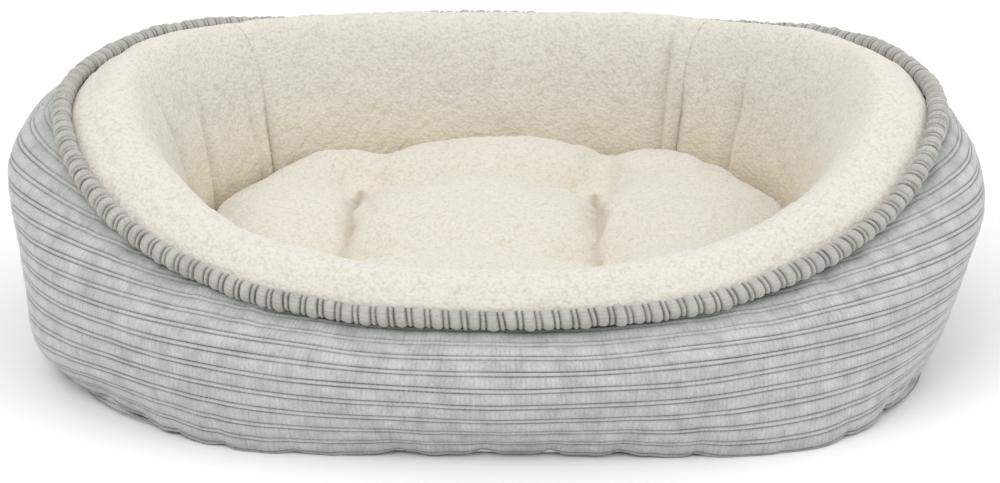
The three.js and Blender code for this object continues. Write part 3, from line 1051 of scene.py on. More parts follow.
@dataclass
class RimPiping:
    """The corded rim: corduroy cut across its ribs and wrapped round a cotton cord."""

    bed: Bed
    finish: Corduroy
    crest_radius: float = 0.0066
    groove_depth: float = 0.0021
    thickness: float = 0.0007
    tail: float = 0.0080
    cord_radius: float = 0.0031
    cord_twist: float = 0.016
    cord_points: int = 1400
    cord_sides: int = 12
    droop: float = 0.0009
    small_droop: float = 0.0005
    rib_unevenness: float = 0.06
    rib_lean: float = 0.0007
    sides: int = 22
    pattern: Ribs = Ribs(
        0.0105, 0.0032, 0.0010, (0.0, 0.14, 0.5, 0.86), (0.0, 0.07, 0.24, 0.5, 0.76, 0.93)
    )

    def columns(self, length: float) -> tuple[Array, Ribs]:
        """Distances round the rim at which the cloth's columns lie, and the ribs fitted to it."""
        count = int(round(length / self.pattern.repeat))
        fitted = replace(self.pattern, repeat=length / count)
        return np.append(fitted.cuts(count), length), fitted

    def ribs(self, around: Array, fitted: Ribs) -> tuple[Array, Array]:
        """The ribs' radius, and how far down in a groove each place is."""
        in_narrow, side, groove = fitted.place(around + 1e-9)
        crown = np.where(in_narrow, 0.84 * (1 - side**2.2), 1 - side**3.2)
        number = np.floor(around / fitted.repeat + 1e-6) * 2 + in_narrow
        uneven = 1 + self.rib_unevenness * (2 * scramble(as_line(number), 21) - 1)
        return self.crest_radius * uneven - self.groove_depth * (1 - crown), groove

    def build(self) -> bpy.types.Object:
        """Makes the cover."""
        total = float(np.ptp(self.bed.rim_distance(np.radians([-90.0, 270.0]))))
        around, fitted = self.columns(total)
        start = float(self.bed.rim_distance(np.radians([90.0]))[0]) - total
        fine = np.radians(np.linspace(-270, 90, 12001))
        t = np.interp(start + around, self.bed.rim_distance(fine), fine)
        way, middle = self.bed.plane(t)[1], self.bed.rim_path(t)
        line = as_line(around)
        middle[:, 2] += self.droop * grain(line, 0.035, 22) + self.small_droop * grain(line, 0.012, 23)
        middle[-1] = middle[0]
        ahead = unit(round_trip(middle))
        inwards = np.concatenate([way, np.zeros((len(way), 1))], axis=1)
        inwards = unit(inwards - ahead * (inwards * ahead).sum(axis=1, keepdims=True))
        up = np.cross(inwards, ahead)
        up *= np.sign(up[:, 2:])
        down = math.atan2(self.bed.down_tails[1], self.bed.down_tails[0])
        open_half = math.asin(self.bed.tail_half / self.crest_radius)
        turn = np.linspace(down + open_half, down + 2 * math.pi - open_half, self.sides)
        lean = self.rib_lean * np.sin(turn + 0.6)[None, :] + 0 * around[:, None]
        radius, groove = self.ribs(around[:, None] + lean, fitted)
        radius[-1], groove[-1] = radius[0], groove[0]
        flat = np.stack([radius * np.cos(turn), radius * np.sin(turn)], axis=-1)
        tip = self.crest_radius + self.tail
        edges = [
            tip * self.bed.down_tails + side * self.bed.tail_half * self.bed.across_tails
            for side in (1, -1)
        ]
        first, last = (np.broadcast_to(e, (len(around), 1, 2)) for e in edges)
        flat = np.concatenate([first, flat, last], axis=1)
        places = middle[:, None] + inwards[:, None] * flat[..., :1] + up[:, None] * flat[..., 1:]
        outwards = unit(places - middle[:, None])
        pad = ((0, 0), (1, 1))
        groove = np.pad(groove, pad, mode="edge")
        # painted shade on the piping's underside, where its tails run down between wall and liner
        under = np.pad(smooth((np.cos(turn - down) - 0.55) / 0.4), (1, 1), mode="edge")
        tuck = under[None, :] + 0 * groove
        wrap = np.linspace(0, 2 * math.pi * self.crest_radius, self.sides + 2)
        cloth = np.stack(np.broadcast_arrays(wrap[None, :], around[:, None]), axis=-1)
        # The piping's grooves get painted shade too; it gets no painted highlight.
        values = {"groove": groove, "tuck": tuck, "bright": 0 * groove}
        piece = woven("rim_piping", places, outwards, cloth, values)
        thicken(piece, self.thickness)
        return piece

    def make(self) -> None:
        """Makes and dresses the cover and the cord in it."""
        piece = self.build()
        dress(piece, self.finish.make(), Body.BED, ["rim_piping_cover"])
        path = self.bed.rim_path(self.bed.all_round(self.cord_points))
        cord = yarn("piping_cord", path, self.cord_radius, True, self.cord_twist, self.cord_sides)
        dress(cord, CORD.make(), Body.BED, ["rim_piping_cord"])


@dataclass(frozen=True)
class Crease:
    """A fold in the liner that runs down from the crest towards the nest.

    Its angles are degrees round the bed, its top and foot are shares of the way from the rim down
    to the nest's floor, and its depth and width are metres.
    """

    top_angle: float
    foot_angle: float
    top: float
    foot: float
    depth: float
    width: float


@dataclass
class Liner:
    """The sherpa that lines the bolster, in two panels that meet at the back's two seams."""

    bed: Bed
    finish: Sherpa
    thickness: float = 0.0055
    column_pitch: float = 0.0021
    rows: int = 96
    lip: float = 0.0018
    back_crest: float = 0.0010
    nub_size: float = 0.0042
    nub_height: float = 0.0012
    lump: float = 0.0016
    small_lump: float = 0.0009
    hem: float = 0.006
    lip_place: float = 0.010
    lip_width: float = 0.007
    darkest_crease: float = 0.0090
    creases: tuple[Crease, ...] = (
        Crease(139.1, 139.1, 0.36, 1.0, 0.0040, 0.0060),
        Crease(144.5, 143.0, 0.34, 1.0, 0.0020, 0.0045),
        Crease(161.0, 164.0, 0.36, 1.0, 0.0046, 0.0060),
        Crease(180.0, 175.0, 0.28, 0.8, 0.0040, 0.0070),
        Crease(91.0, 92.5, 0.20, 0.5, 0.0018, 0.0045),
        Crease(57.3, 57.3, 0.36, 1.0, 0.0040, 0.0060),
        Crease(62.5, 60.0, 0.12, 1.0, 0.0042, 0.0050),
        Crease(42.0, 44.5, 0.28, 1.0, 0.0042, 0.0060),
    )

    def folds(self, t: Array, share: Array) -> tuple[Array, Array]:
        """How deep the creases go, and how dark their painted shade is, at each angle and share of the way.
        """
        around = self.bed.rim_distance(t)[:, None]
        whole = float(np.ptp(self.bed.rim_distance(np.radians([0.0, 360.0]))))
        depth, dark = np.zeros(share.shape), np.zeros(share.shape)
        for crease in self.creases:
            down = np.clip((share - crease.top) / (crease.foot - crease.top), 0, 1)
            angle = np.radians(crease.top_angle + (crease.foot_angle - crease.top_angle) * down)
            away = around - self.bed.rim_distance(angle)
            away = (away + whole / 2) % whole - whole / 2
            fade = smooth((share - crease.top) / 0.22) * smooth((crease.foot + 0.15 - share) / 0.2)
            valley = hump(away, crease.width) - 0.35 * hump(np.abs(away) - 2.4 * crease.width, crease.width)
            depth += crease.depth * fade * valley
            shaded = fade * hump(away, 0.4 * crease.width)
            dark = np.maximum(dark, shaded * crease.depth / self.darkest_crease)
        return depth, dark

    def build(self, panel: Panel) -> bpy.types.Object:
        """Makes one panel."""
        t = panel.angles(self.bed, self.column_pitch)
        sections = self.bed.liner(t)
        share = np.broadcast_to(np.linspace(0, 1, self.rows)[None, :], (len(t), self.rows))
        along = share * sections.span[:, None]
        places, outwards = sections.at(along)
        depth, dark = self.folds(t, share)
        nub = nubs(places, self.nub_size, 31)
        soft = self.lump * grain(places, 0.050, 33) + self.small_lump * grain(places, 0.018, 34)
        at_edge = smooth(along / self.hem) * smooth((1 - share) / 0.03)
        lift = self.nub_height * (nub - NUB_MIDDLE) * (0.35 + 0.65 * at_edge) + soft * at_edge - depth
        lift += self.lip * hump(along - self.lip_place, self.lip_width)
        lift += self.back_crest * hump(share - 0.22, 0.16) * smooth(np.sin(t)[:, None] / 0.8)
        places = places + outwards * lift[..., None]
        places[..., 2] = np.maximum(places[..., 2], self.bed.liner_bottom)
        # warm painted shade, growing down into the nest and towards the back
        shelter = smooth((share - 0.42) / 0.40) * smooth((0.6 + np.sin(t)[:, None]) / 0.9)
        flat = np.stack([self.bed.rim_distance(t)[:, None] + 0 * along, along], axis=-1)
        # fold carries the creases' painted shade, and nub sets the painted shade between the nubs
        values = {"nub": nub, "fold": dark, "shelter": shelter}
        piece = woven(panel.node, places, outwards, flat, values)
        thicken(piece, self.thickness)
        return piece

    def make(self) -> bpy.types.Material:
        """Makes and dresses both panels, and returns their material."""
        material = self.finish.make()
        for panel in (Panel.LINER_FRONT, Panel.LINER_BACK):
            piece = self.build(panel)
            piece.name = f"sherpa_{panel.node}"
            dress(piece, material, Body.BED, [panel.node])
        return material


@dataclass
class BolsterFill:
    """The fibre that fills the bolster, a ring between the wall, the liner and the base."""

    bed: Bed
    wall: OuterWall
    behind_wall: float = 0.0060
    behind_liner: float = 0.0132
    underside: float = 0.0026
    lowest: float = 0.0024
    columns: int = 320
    rows: int = 26
    lump: float = 0.0010

    def build(self) -> bpy.types.Object:
        """Makes the ring."""
        t = self.bed.all_round(self.columns)
        wall, liner = self.bed.wall(t), self.bed.liner(t)
        up = np.linspace(0.05, 0.90, self.rows)[None, :] * wall.span[:, None]
        down = np.linspace(0.12, 0.94, self.rows)[None, :] * liner.span[:, None]
        outer, out = wall.at(up)
        inner, back = liner.at(down)
        fallen = np.minimum(self.wall.slumped(t, outer), 0)
        outer = outer + out * (fallen[..., None] - self.behind_wall)
        inner = inner - back * self.behind_liner
        heel, toe = inner[:, -1:], outer[:, :1]
        across = np.linspace(0.0, 1.0, 5)
        floor = np.concatenate([heel + (toe - heel) * share for share in across], axis=1)
        floor[..., 2] = self.underside
        places = np.concatenate([outer, inner, floor, outer[:, :1]], axis=1)
        outwards = np.concatenate([out, back, np.zeros_like(floor), out[:, :1]], axis=1)
        places = places + outwards * (self.lump * grain(places, 0.017, 41))[..., None]
        places[..., 2] = np.maximum(places[..., 2], self.lowest)
        places[-1] = places[0]
        return woven("bolster_stuffing", places, outwards, places[..., :2], {})

    def make(self) -> bpy.types.Material:
        """Makes and dresses the ring, and returns its material."""
        material = FIBRE.make()
        dress(self.build(), material, Body.BED, ["bolster_fill"])
        return material


# ---- the bottom ------------------------------------------------------------------------------


@dataclass
class BottomPanels:
    """The non-slip base with its dots, and the felt floor of the nest."""

    bed: Bed
    wall: OuterWall
    base_inset: float = 0.0042
    base_bottom: float = 0.0006
    base_thickness: float = 0.0011
    floor_inset: float = 0.0076
    floor_bottom: float = 0.0021
    floor_thickness: float = 0.0018
    dot_pitch: float = 0.013
    dot_radius: float = 0.0022
    dot_height: float = 0.0006
    row_share: float = 0.87
    dotted_share: float = 0.94
    columns: int = 480
    rows: int = 24

    def disc(self, name: str, edge: Array, top: float, thickness: float, seed: int) -> bpy.types.Object:
        """Makes a flat cloth.

        Args:
            name: the piece's name.
            edge: its outline, which comes back to its start.
            top: the height of its upper face.
            thickness: how thick it is.
            seed: picks how its surface undulates.

        Returns:
            The new cloth.
        """
        middle = edge[:-1].mean(axis=0)
        share = np.linspace(0, 1, self.rows)[None, :, None]
        ground = middle + (edge[:, None, :] - middle) * share
        places = np.concatenate([ground, np.full(ground.shape[:2] + (1,), top)], axis=-1)
        places[-1] = places[0]
        places[..., 2] -= 0.0002 * (1 + grain(places, 0.012, seed))
        outwards = np.zeros_like(places)
        outwards[..., 2] = 1.0
        piece = woven(name, places, outwards, ground, {})
        thicken(piece, thickness)
        return piece

    def dots(self, oval: Oval) -> bpy.types.Object:
        """Makes the grip dots, in rows that stand half a step apart."""
        rows = int(oval.half_depth / self.dot_pitch)
        columns = int(oval.half_length / self.dot_pitch) + 2
        bm = bmesh.new()
        for row in range(-rows, rows + 1):
            for column in range(-columns, columns + 1):
                x = (column + 0.5 * (row % 2)) * self.dot_pitch
                y = oval.shift + row * self.dot_pitch * self.row_share
                if oval.share(np.array([x, y])) > self.dotted_share:
                    continue
                place = Matrix.Translation((x, y, self.dot_height))
                turned = place @ Matrix.Rotation(math.pi, 4, "X")
                bmesh.ops.create_cone(
                    bm,
                    cap_ends=True,
                    segments=8,
                    radius1=self.dot_radius,
                    radius2=0.55 * self.dot_radius,
                    depth=2 * self.dot_height * 0.98,
                    matrix=turned,
                )
        return finished("grip_dots", bm)

    def make(self) -> None:
        """Makes and dresses the panels and dots."""
        t = self.bed.all_round(self.columns)
        outline = self.wall.foot(t) + self.bed.plane(t)[1] * self.base_inset
        outline[-1] = outline[0]
        top = self.base_bottom + self.base_thickness
        base = self.disc("non_slip_base", outline, top, self.base_thickness, 51)
        dress(base, NON_SLIP.make(), Body.BED, ["base_panel"])
        dots = self.dots(self.bed.base)
        dress(dots, DOTS.make(), Body.BED)
        inside = self.bed.nest.grown(self.floor_inset).at(t)
        inside[-1] = inside[0]
        top = self.floor_bottom + self.floor_thickness
        floor = self.disc("felt_nest_floor", inside, top, self.floor_thickness, 52)
        dress(floor, FELT.make(), Body.BED, ["nest_floor"])


# ---- threads ---------------------------------------------------------------------------------


def yarn(
    name: str,
    path: Array,
    radius: float,
    closed: bool,
    twist: float,
    sides: int = 6,
) -> bpy.types.Object:
    """A two-ply thread along a path.

    Args:
        name: the piece's name.
        path: the points that it follows, evenly spaced.
        radius: half its thickness.
        closed: whether its end meets its start.
        twist: how far along it one turn of the plies takes.
        sides: how many flats it has round it.

    Returns:
        The new thread.
    """
    if closed:
        path = np.concatenate([path[:-1], path[:1]])
        ahead = unit(round_trip(path))
    else:
        ahead = unit(np.gradient(path, axis=0))
    pole = np.where(np.abs(ahead[:, 2:]) < 0.8, [[0.0, 0.0, 1.0]], [[1.0, 0.0, 0.0]])
    side = unit(np.cross(ahead, pole))
    over = np.cross(side, ahead)
    reach = reach_along(path)
    turns = max(1, round(reach[-1] / twist))
    spin = 2 * math.pi * turns * reach / reach[-1]
    turn = np.linspace(0, 2 * math.pi, sides + 1)[None, :] + spin[:, None]
    ply = radius * (0.80 + 0.20 * np.abs(np.cos(turn - spin[:, None])))
    if not closed:
        ply[0], ply[-1] = 0.0, 0.0
    out = side[:, None] * np.cos(turn)[..., None] + over[:, None] * np.sin(turn)[..., None]
    places = path[:, None] + out * ply[..., None]
    places[:, -1] = places[:, 0]
    if closed:
        places[-1] = places[0]
    flat = np.stack(np.broadcast_arrays(reach[:, None], turn), axis=-1)
    return woven(name, places, out, flat, {})


@dataclass
class SeamThreads:
    """The threads that close the bolster's seams, each in the pocket behind its seam."""

    bed: Bed
    radius: float = 0.00052
    stitch: float = 0.0040
    points: int = 1400
    rim_depth: float = 0.0159
    wall_depth: float = 0.0040
    liner_depth: float = 0.0080

    def ring(self, name: str, flat: Array, t: Array) -> bpy.types.Object:
        """Makes one thread, which weaves up and down from stitch to stitch."""
        path = self.bed.in_space(t, flat)
        path[:, 2] += 0.0001 * np.sin(2 * math.pi * self.bed.rim_distance(t) / self.stitch)
        return yarn(name, path, self.radius, True, self.stitch)

    def make(self) -> None:
        """Makes and dresses the three threads."""
        t = self.bed.all_round(self.points)
        base, width = self.bed.inset_to(self.bed.base, t), self.bed.plane(t)[2]
        grey, cream = GREY_THREAD.make(), CREAM_THREAD.make()
        rim = self.bed.rim_centre(t) + self.rim_depth * self.bed.down_tails
        low, high = self.bed.base_top + 0.0006, self.bed.liner_bottom + 0.0006
        rows = [
            ("rim_seam_thread", rim, grey, Slot.GREY_THREAD),
            ("base_seam_thread", pairs(base + self.wall_depth, low), grey, Slot.GREY_THREAD),
            ("nest_seam_thread", pairs(width - self.liner_depth, high), cream, Slot.CREAM_THREAD),
        ]
        for node, flat, material, slot in rows:
            piece = self.ring(node.replace("thread", "stitching"), flat, t)
            dress(piece, material, Body.BED, [node])


# ---- the cushion -----------------------------------------------------------------------------


@dataclass(frozen=True)
class Puff:
    """One of the cushion's fullest places: where it is, how far it spreads, and its rise, in metres."""

    x: float
    y: float
    half_length: float
    half_depth: float
    rise: float

    def at(self, places: Array) -> Array:
        """How much it lifts each place."""
        across = ((places[:, 0] - self.x) / self.half_length) ** 2
        along = ((places[:, 1] - self.y) / self.half_depth) ** 2
        return self.rise * np.exp(-(across + along))


@dataclass
class NestCushion:
    """The loose cushion: sherpa on top, felt below, stuffed, and tied down at four places."""

    bed: Bed
    oval: Oval = Oval(0.206, 0.163, 0.020, 2.3, 2.3)
    bottom: float = 0.0044
    top: float = 0.0764
    seam_level: float = 0.0224
    crown_edge: float = 0.90
    under_edge: float = 0.93
    start_inset: float = 0.003
    start_lower: float = 0.002
    tie_reach: float = 0.026
    voxel: float = 0.0040
    pressure: float = 4.0
    frames: int = 20
    cap: float = 0.014
    pin_radius: float = 0.006
    top_cloth: float = 0.0042
    under_cloth: float = 0.0014
    fill_inset: float = 0.0065
    nub_size: float = 0.0042
    nub_height: float = 0.0012
    lump: float = 0.0020
    small_lump: float = 0.0010
    valley_width: float = 0.014
    crease_width: float = 0.0050
    tie_radius: float = 0.0008
    knot_radius: float = 0.0019
    knot_half_height: float = 0.0009
    knot_drop: float = 0.0012
    knot_turns: int = 3
    full: tuple[Puff, ...] = (
        Puff(0.000, 0.160, 0.062, 0.036, 0.0085),
        Puff(-0.120, 0.135, 0.050, 0.040, 0.0050),
        Puff(0.135, 0.110, 0.050, 0.060, 0.0050),
        Puff(-0.018, 0.030, 0.060, 0.050, 0.0040),
        Puff(-0.150, 0.030, 0.040, 0.060, 0.0030),
    )
    ties: dict[str, Vector] = field(default_factory=dict)

    def __post_init__(self) -> None:
        """Reads where the ties are, and how high their knots reach, from the model."""
        for node in sorted(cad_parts):
            if node.startswith("cushion_tie_"):
                low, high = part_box(node)
                self.ties[node] = Vector(((low.x + high.x) / 2, (low.y + high.y) / 2, high.z))

    def from_ties(self, ground: Array) -> Array:
        """The distance from each (x, y) to the nearest tie."""
        spots = np.array([[tie.x, tie.y] for tie in self.ties.values()])
        return np.linalg.norm(ground[..., None, :] - spots, axis=-1).min(axis=-1)

    def blank(self) -> bpy.types.Object:
        """The cushion before it is stuffed: a closed crowned form, dimpled at its ties."""
        oval = self.oval.grown(-self.start_inset)
        top = self.top - self.start_lower
        bottom = self.bottom + 0.001
        knots = [
            (0.0, bottom),
            (0.5, bottom),
            (self.under_edge - 0.04, bottom),
            (0.975, bottom + 0.3 * (self.seam_level - bottom)),
            (1.0, self.seam_level),
            (1.0, self.seam_level + 0.60 * (top - self.seam_level)),
            (0.975, self.seam_level + 0.88 * (top - self.seam_level)),
            (self.crown_edge, top - 0.001),
            (0.5, top),
            (0.0, top),
        ]
        profile = np.array(knots)
        step = reach_along(profile * [0.16, 1])
        even = np.linspace(0, step[-1], 90)
        share, height = np.interp(even, step, profile[:, 0]), np.interp(even, step, profile[:, 1])
        t = np.linspace(-math.pi, math.pi, 193)
        edge = oval.at(t) - [0.0, oval.shift]
        ground = edge[:, None, :] * share[None, :, None] + [0.0, oval.shift]
        z = np.broadcast_to(height[None, :], ground.shape[:2]).copy()
        level = next(iter(self.ties.values())).z + 0.0012
        dip = (top - level) * hump(self.from_ties(ground), self.tie_reach)
        pull = smooth((z - self.seam_level) / (top - self.seam_level))
        z -= dip * pull
        places = np.concatenate([ground, z[..., None]], axis=-1)
        places[-1] = places[0]
        outwards = places - np.array([0.0, oval.shift, (top + bottom) / 2])
        piece = woven("cushion_blank", places, outwards, ground, {})
        remesh = piece.modifiers.new("remesh", "REMESH")
        remesh.mode = "VOXEL"
        remesh.voxel_size = self.voxel
        return applied(piece)

    def stuff(self, piece: bpy.types.Object) -> None:
        """Swells the cushion by pressure, held at its ties, and caps how far it moves."""
        before = positions(piece.data)
        pinned = np.nonzero(self.from_ties(before[:, :2]) < self.pin_radius)[0]
        group = piece.vertex_groups.new(name="tied")
        group.add([int(i) for i in pinned], 1.0, "REPLACE")
        cloth = piece.modifiers.new("stuffing", "CLOTH")
        settings = {
            "use_pressure": True,
            "uniform_pressure_force": self.pressure,
            "vertex_group_mass": group.name,
            "quality": 5,
            "mass": 0.3,
            "tension_stiffness": 12.0,
            "compression_stiffness": 12.0,
            "shear_stiffness": 4.0,
            "bending_stiffness": 0.4,
        }
        for key, value in settings.items():
            setattr(cloth.settings, key, value)
        cloth.settings.effector_weights.gravity = 0.0
        cloth.collision_settings.use_collision = False
        scene = bpy.context.scene
        for number in range(1, self.frames + 1):
            scene.frame_set(number)
        applied(piece)
        scene.frame_set(1)
        move = positions(piece.data) - before
        far = np.linalg.norm(move, axis=1, keepdims=True)
        LOG.info("cushion swells by up to %.1f mm", 1000 * float(far.max()))
        set_positions(piece.data, before + move * np.minimum(1, self.cap / np.maximum(far, 1e-9)))

    def settle(self, places: Array) -> Array:
        """Keeps the cushion on the nest's floor and inside the bolster."""
        ground, z = places[:, :2].copy(), places[:, 2]
        share = self.oval.share(ground)
        room = 1.0 + 0.020 * smooth((z - 0.045) / 0.03)
        shrink = np.where(share > room, room / np.maximum(share, 1e-9), 1.0)[:, None]
        middle = np.array([0.0, self.oval.shift])
        ground = middle + (ground - middle) * shrink
        return np.column_stack([ground, np.maximum(z, self.bottom)])

    def lines(self) -> list[tuple[Array, Array, float, float]]:
        """The valleys between the puffs: from, to, depth and width of each."""
        spot = {name.replace("cushion_tie_", ""): np.array([v.x, v.y]) for name, v in self.ties.items()}
        back, front = self.oval.shift + self.oval.half_depth, self.oval.shift - self.oval.half_depth
        left, right = -self.oval.half_length, self.oval.half_length
        soft, sharp = self.valley_width, self.crease_width
        return [
            (spot["back_left"], spot["front_left"], 0.0065, soft),
            (spot["back_left"], spot["front_left"], 0.0050, sharp),
            (spot["back_right"], spot["front_right"], 0.0065, soft),
            (spot["back_right"], spot["front_right"], 0.0050, sharp),
            (spot["back_left"], spot["back_right"], 0.0095, soft),
            (spot["front_left"], spot["front_right"], 0.0050, soft),
            (spot["back_left"], np.array([-0.080, back]), 0.0055, soft),
            (spot["back_right"], np.array([0.082, back]), 0.0055, soft),
            (spot["front_left"], np.array([-0.120, front]), 0.0050, soft),
            (spot["front_right"], np.array([0.090, front]), 0.0050, soft),
            (spot["back_left"], np.array([left, 0.085]), 0.0030, soft),
            (spot["back_right"], np.array([right, 0.085]), 0.0030, soft),
            (spot["front_left"], np.array([left, -0.045]), 0.0030, soft),
            (spot["front_right"], np.array([right, -0.045]), 0.0030, soft),
        ]

    def valleys(self, places: Array) -> tuple[Array, Array]:
        """How deep the valleys go at each place, and how dark the painted shade in their creases is."""
        depth, fine, dark = (np.zeros(len(places)) for _ in range(3))
        for start, end, deep, width in self.lines():
            way = end - start
            share = np.clip(((places[:, :2] - start) @ way) / (way @ way), 0, 1)
            away = np.linalg.norm(places[:, :2] - start - share[:, None] * way, axis=1)
            if width == self.crease_width:
                fine = np.maximum(fine, deep * hump(away, width))
                dark = np.maximum(dark, hump(away, 0.6 * width) * (1 - 0.5 * share))
            else:
                depth = np.maximum(depth, deep * hump(away, width))
        crown = smooth((places[:, 2] - self.seam_level) / 0.03)
        clear = smooth(self.from_ties(places[:, :2]) / 0.016)
        return (depth + fine) * crown * clear, dark * crown

    def puffs(self, places: Array) -> Array:
        """How much the fullest parts of the cushion stand up, at each place."""
        lift = np.max([puff.at(places) for puff in self.full], axis=0)
        clear = smooth(self.from_ties(places[:, :2]) / 0.030)
        return lift * clear * smooth((places[:, 2] - 0.045) / 0.02)

    def plump(self, piece: bpy.types.Object) -> None:
        """Gives the stuffed cushion its valleys, its soft unevenness and its nubs."""
        mesh = piece.data
        places, out = positions(mesh), normals(mesh)
        depth, dark = self.valleys(places)
        above = smooth((places[:, 2] - self.seam_level + 0.004) / 0.006)
        soft = self.lump * grain(places, 0.045, 62) + self.small_lump * grain(places, 0.017, 63)
        places = places + out * ((soft - depth) * above)[:, None]
        places[:, 2] += self.puffs(places) * above
        places = self.settle(places)
        nub = nubs(places, self.nub_size, 64)
        places = places + out * (self.nub_height * (nub - NUB_MIDDLE) * above)[:, None]
        places[:, 2] = np.maximum(places[:, 2], self.bottom)
        set_positions(mesh, places)
        rim = self.oval.share(places[:, :2])
        low = 1 - smooth((places[:, 2] - 0.050) / 0.022)
        paint(mesh, "nub", nub)
        # painted shade along the valleys' creases and in the dimples at the ties
        paint(mesh, "fold", np.maximum(dark, 0.4 * hump(self.from_ties(places[:, :2]), 0.004)))
        # warm painted shade on the cushion, stronger low down and near its edge by the bolster, a little
        # everywhere
        paint(mesh, "shelter", np.clip(0.15 + 0.25 * low + 0.2 * smooth((rim - 0.9) / 0.1), 0, 1))

    def part(self, source: bpy.types.Object, name: str, keep_above: bool) -> bpy.types.Object:
        """Cuts the cushion's cover at its edge seam.

        Args:
            source: the whole cover.
            name: the new piece's name.
            keep_above: whether it is the top cover or the underside.

        Returns:
            The cut piece.
        """
        bm = bmesh.new()
        bm.from_mesh(source.data)
        gap = 0.0002 if keep_above else -0.0002
        bmesh.ops.bisect_plane(
            bm,
            geom=bm.verts[:] + bm.edges[:] + bm.faces[:],
            dist=1e-6,
            plane_co=(0, 0, self.seam_level + gap),
            plane_no=(0, 0, 1),
            clear_inner=keep_above,
            clear_outer=not keep_above,
        )
        return finished(name, bm)

    def stuffing(self, source: bpy.types.Object) -> bpy.types.Object:
        """The fibre inside the covers: the same shape, further in."""
        bm = bmesh.new()
        bm.from_mesh(source.data)
        every_way = {"use_axis_x": True, "use_axis_y": True, "use_axis_z": True}
        bmesh.ops.smooth_vert(bm, verts=bm.verts[:], factor=0.5, **every_way)
        piece = finished("cushion_stuffing", bm)
        places, out = positions(piece.data), normals(piece.data)
        depth, _ = self.valleys(places)
        inset = self.fill_inset + depth
        places = places - out * inset[:, None]
        places[:, 2] = np.maximum(places[:, 2], self.bottom + self.under_cloth + 0.0006)
        set_positions(piece.data, places)
        return piece

    def tie(self, node: str, spot: Vector) -> bpy.types.Object:
        """A tie: a thread through the cushion, with a wound knot in its dimple."""
        knot_level = spot.z - self.knot_drop
        height = np.linspace(self.bottom + 0.0002, knot_level, 46)
        wave = 0.0003 * np.sin(height / 0.004)
        path = np.column_stack([spot.x + wave, np.full_like(height, spot.y), height])
        turn = np.linspace(0, 2 * math.pi * self.knot_turns, 110)
        rise = np.linspace(-1, 1, 110)
        reach = self.knot_radius * np.sqrt(1 - 0.75 * rise**2)
        wound = [spot.x + reach * np.cos(turn), spot.y + reach * np.sin(turn)]
        knot = np.column_stack([*wound, knot_level + self.knot_half_height * rise])
        whole = np.concatenate([path, knot])
        return yarn(node.replace("tie", "tied"), whole, self.tie_radius, False, 0.003, 8)

    def edge(self) -> bpy.types.Object:
        """The thread that joins the top cover to the underside."""
        t = np.linspace(-math.pi, math.pi, 1201)
        inside = self.oval.grown(-0.006)
        path = np.column_stack([inside.at(t), np.full(len(t), self.seam_level)])
        return yarn("cushion_edge_stitching", path, 0.0005, True, 0.004)

    def make(self, sherpa: bpy.types.Material, fibre: bpy.types.Material) -> None:
        """Makes and dresses the cushion's covers, filling, ties and thread."""
        whole = self.blank()
        self.stuff(whole)
        set_positions(whole.data, self.settle(positions(whole.data)))
        fill = self.stuffing(whole)
        dress(fill, fibre, Body.CUSHION, ["cushion_fill"])
        smoother = whole.modifiers.new("smoother", "SUBSURF")
        smoother.levels = smoother.render_levels = 1
        applied(whole)
        self.plump(whole)
        top = self.part(whole, "cushion_sherpa_top", True)
        thicken(top, self.top_cloth)
        dress(top, sherpa, Body.CUSHION, ["cushion_top_cover"])
        under = self.part(whole, "cushion_felt_underside", False)
        thicken(under, self.under_cloth)
        dress(under, FELT.make(), Body.CUSHION, ["cushion_under_cover"])
        bpy.data.objects.remove(whole)
        cream = CREAM_THREAD.make()
        for node, spot in self.ties.items():
            dress(self.tie(node, spot), cream, Body.CUSHION, [node])
        dress(self.edge(), cream, Body.CUSHION, ["cushion_edge_thread"])


# ---- the studio ------------------------------------------------------------------------------


def aim(thing: bpy.types.Object, place: Vector, target: Vector) -> None:
    """Puts a light or camera at a place and turns it to face a target."""
    thing.location = place
    thing.rotation_euler = (target - place).to_track_quat("-Z", "Y").to_euler()


@dataclass(frozen=True)
class SoftBox:
    """A square studio light that faces the bed."""

    name: str
    place: tuple[float, float, float]
    size: float
    power: float
    colour: Colour = (1.0, 1.0, 1.0)

    def make(self, target: Vector) -> None:
        """Adds the light."""
        light = bpy.data.lights.new(self.name, "AREA")
        light.shape = "SQUARE"
        light.size = self.size
        light.energy = self.power
        light.color = self.colour
        aim(added(self.name, light), Vector(self.place), target)


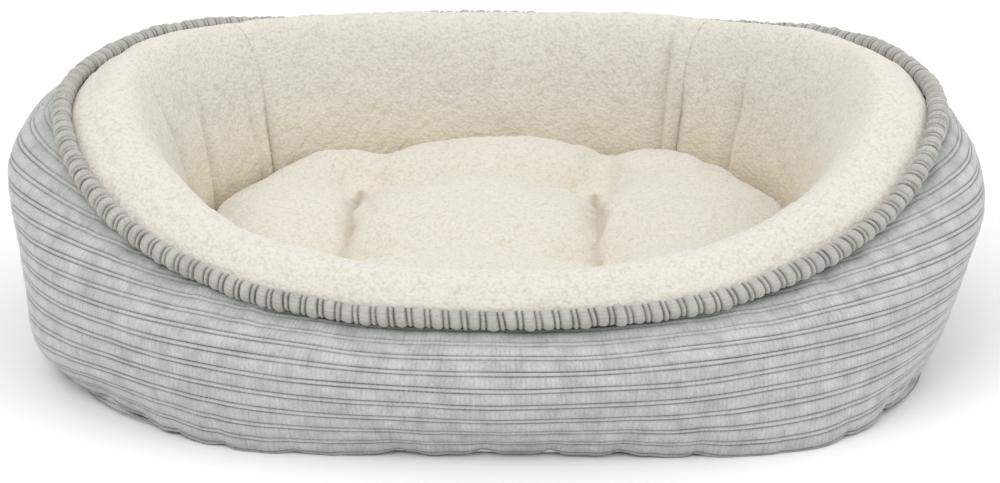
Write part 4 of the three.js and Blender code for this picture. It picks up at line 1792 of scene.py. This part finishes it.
@dataclass
class Studio:
    """A pale floor, soft light, and a camera that looks slightly down on the bed's front."""

    target: Vector = field(default_factory=lambda: Vector((0.0, -0.006, 0.080)))
    eye: Vector = field(default_factory=lambda: Vector((0.0396, -1.5185, 0.6009)))
    lens: float = 85.3
    shift: tuple[float, float] = (0.001, -0.0315)
    floor_half: float = 6.0
    floor_colour: tuple[float, ...] = (0.93, 0.93, 0.93, 1.0)
    surround: float = 0.84
    boxes: tuple[SoftBox, ...] = (
        SoftBox("key_light", (-0.9, -1.5, 2.1), 1.6, 21.5, (1.0, 0.985, 0.96)),
        SoftBox("top_light", (0.2, 0.4, 2.3), 1.8, 7.0, (1.0, 0.99, 0.97)),
        SoftBox("fill_light", (1.9, -1.0, 1.1), 1.4, 11.0, (0.97, 0.985, 1.0)),
    )

    def camera(self) -> None:
        """Adds the camera."""
        data = bpy.data.cameras.new("camera")
        data.lens = self.lens
        data.sensor_width = 36.0
        data.shift_x, data.shift_y = self.shift
        data.clip_start, data.clip_end = 0.05, 50.0
        camera = added("camera", data)
        aim(camera, self.eye, self.target)
        bpy.context.scene.camera = camera

    def floor(self) -> None:
        """Adds the floor."""
        bm = bmesh.new()
        bmesh.ops.create_grid(bm, x_segments=2, y_segments=2, size=self.floor_half)
        floor = finished("studio_floor", bm)
        material = bpy.data.materials.new("studio_floor")
        material.use_nodes = True
        shader = material.node_tree.nodes["Principled BSDF"]
        shader.inputs["Base Color"].default_value = self.floor_colour
        shader.inputs["Roughness"].default_value = 0.9
        floor.data.materials.append(material)

    def world(self) -> None:
        """Adds even light from all round."""
        world = bpy.data.worlds.new("studio")
        bpy.context.scene.world = world
        world.use_nodes = True
        background = world.node_tree.nodes["Background"]
        background.inputs["Color"].default_value = (1.0, 1.0, 1.0, 1.0)
        background.inputs["Strength"].default_value = self.surround

    def make(self) -> None:
        """Sets up the camera, floor and lights."""
        self.camera()
        self.floor()
        self.world()
        for box in self.boxes:
            box.make(self.target)
        bpy.context.scene.view_settings.view_transform = "Standard"


def main() -> None:
    """Builds the bed and its studio."""
    logging.basicConfig(level=logging.INFO, format="%(name)s: %(message)s")
    Studio().make()
    bed = Bed()
    wall = OuterWall(bed, Corduroy())
    wall.make()
    RimPiping(bed, PIPING).make()
    sherpa = Liner(bed, Sherpa()).make()
    fibre = BolsterFill(bed, wall).make()
    BottomPanels(bed, wall).make()
    SeamThreads(bed).make()
    NestCushion(bed).make(sherpa, fibre)


if __name__ == "__main__":
    main()
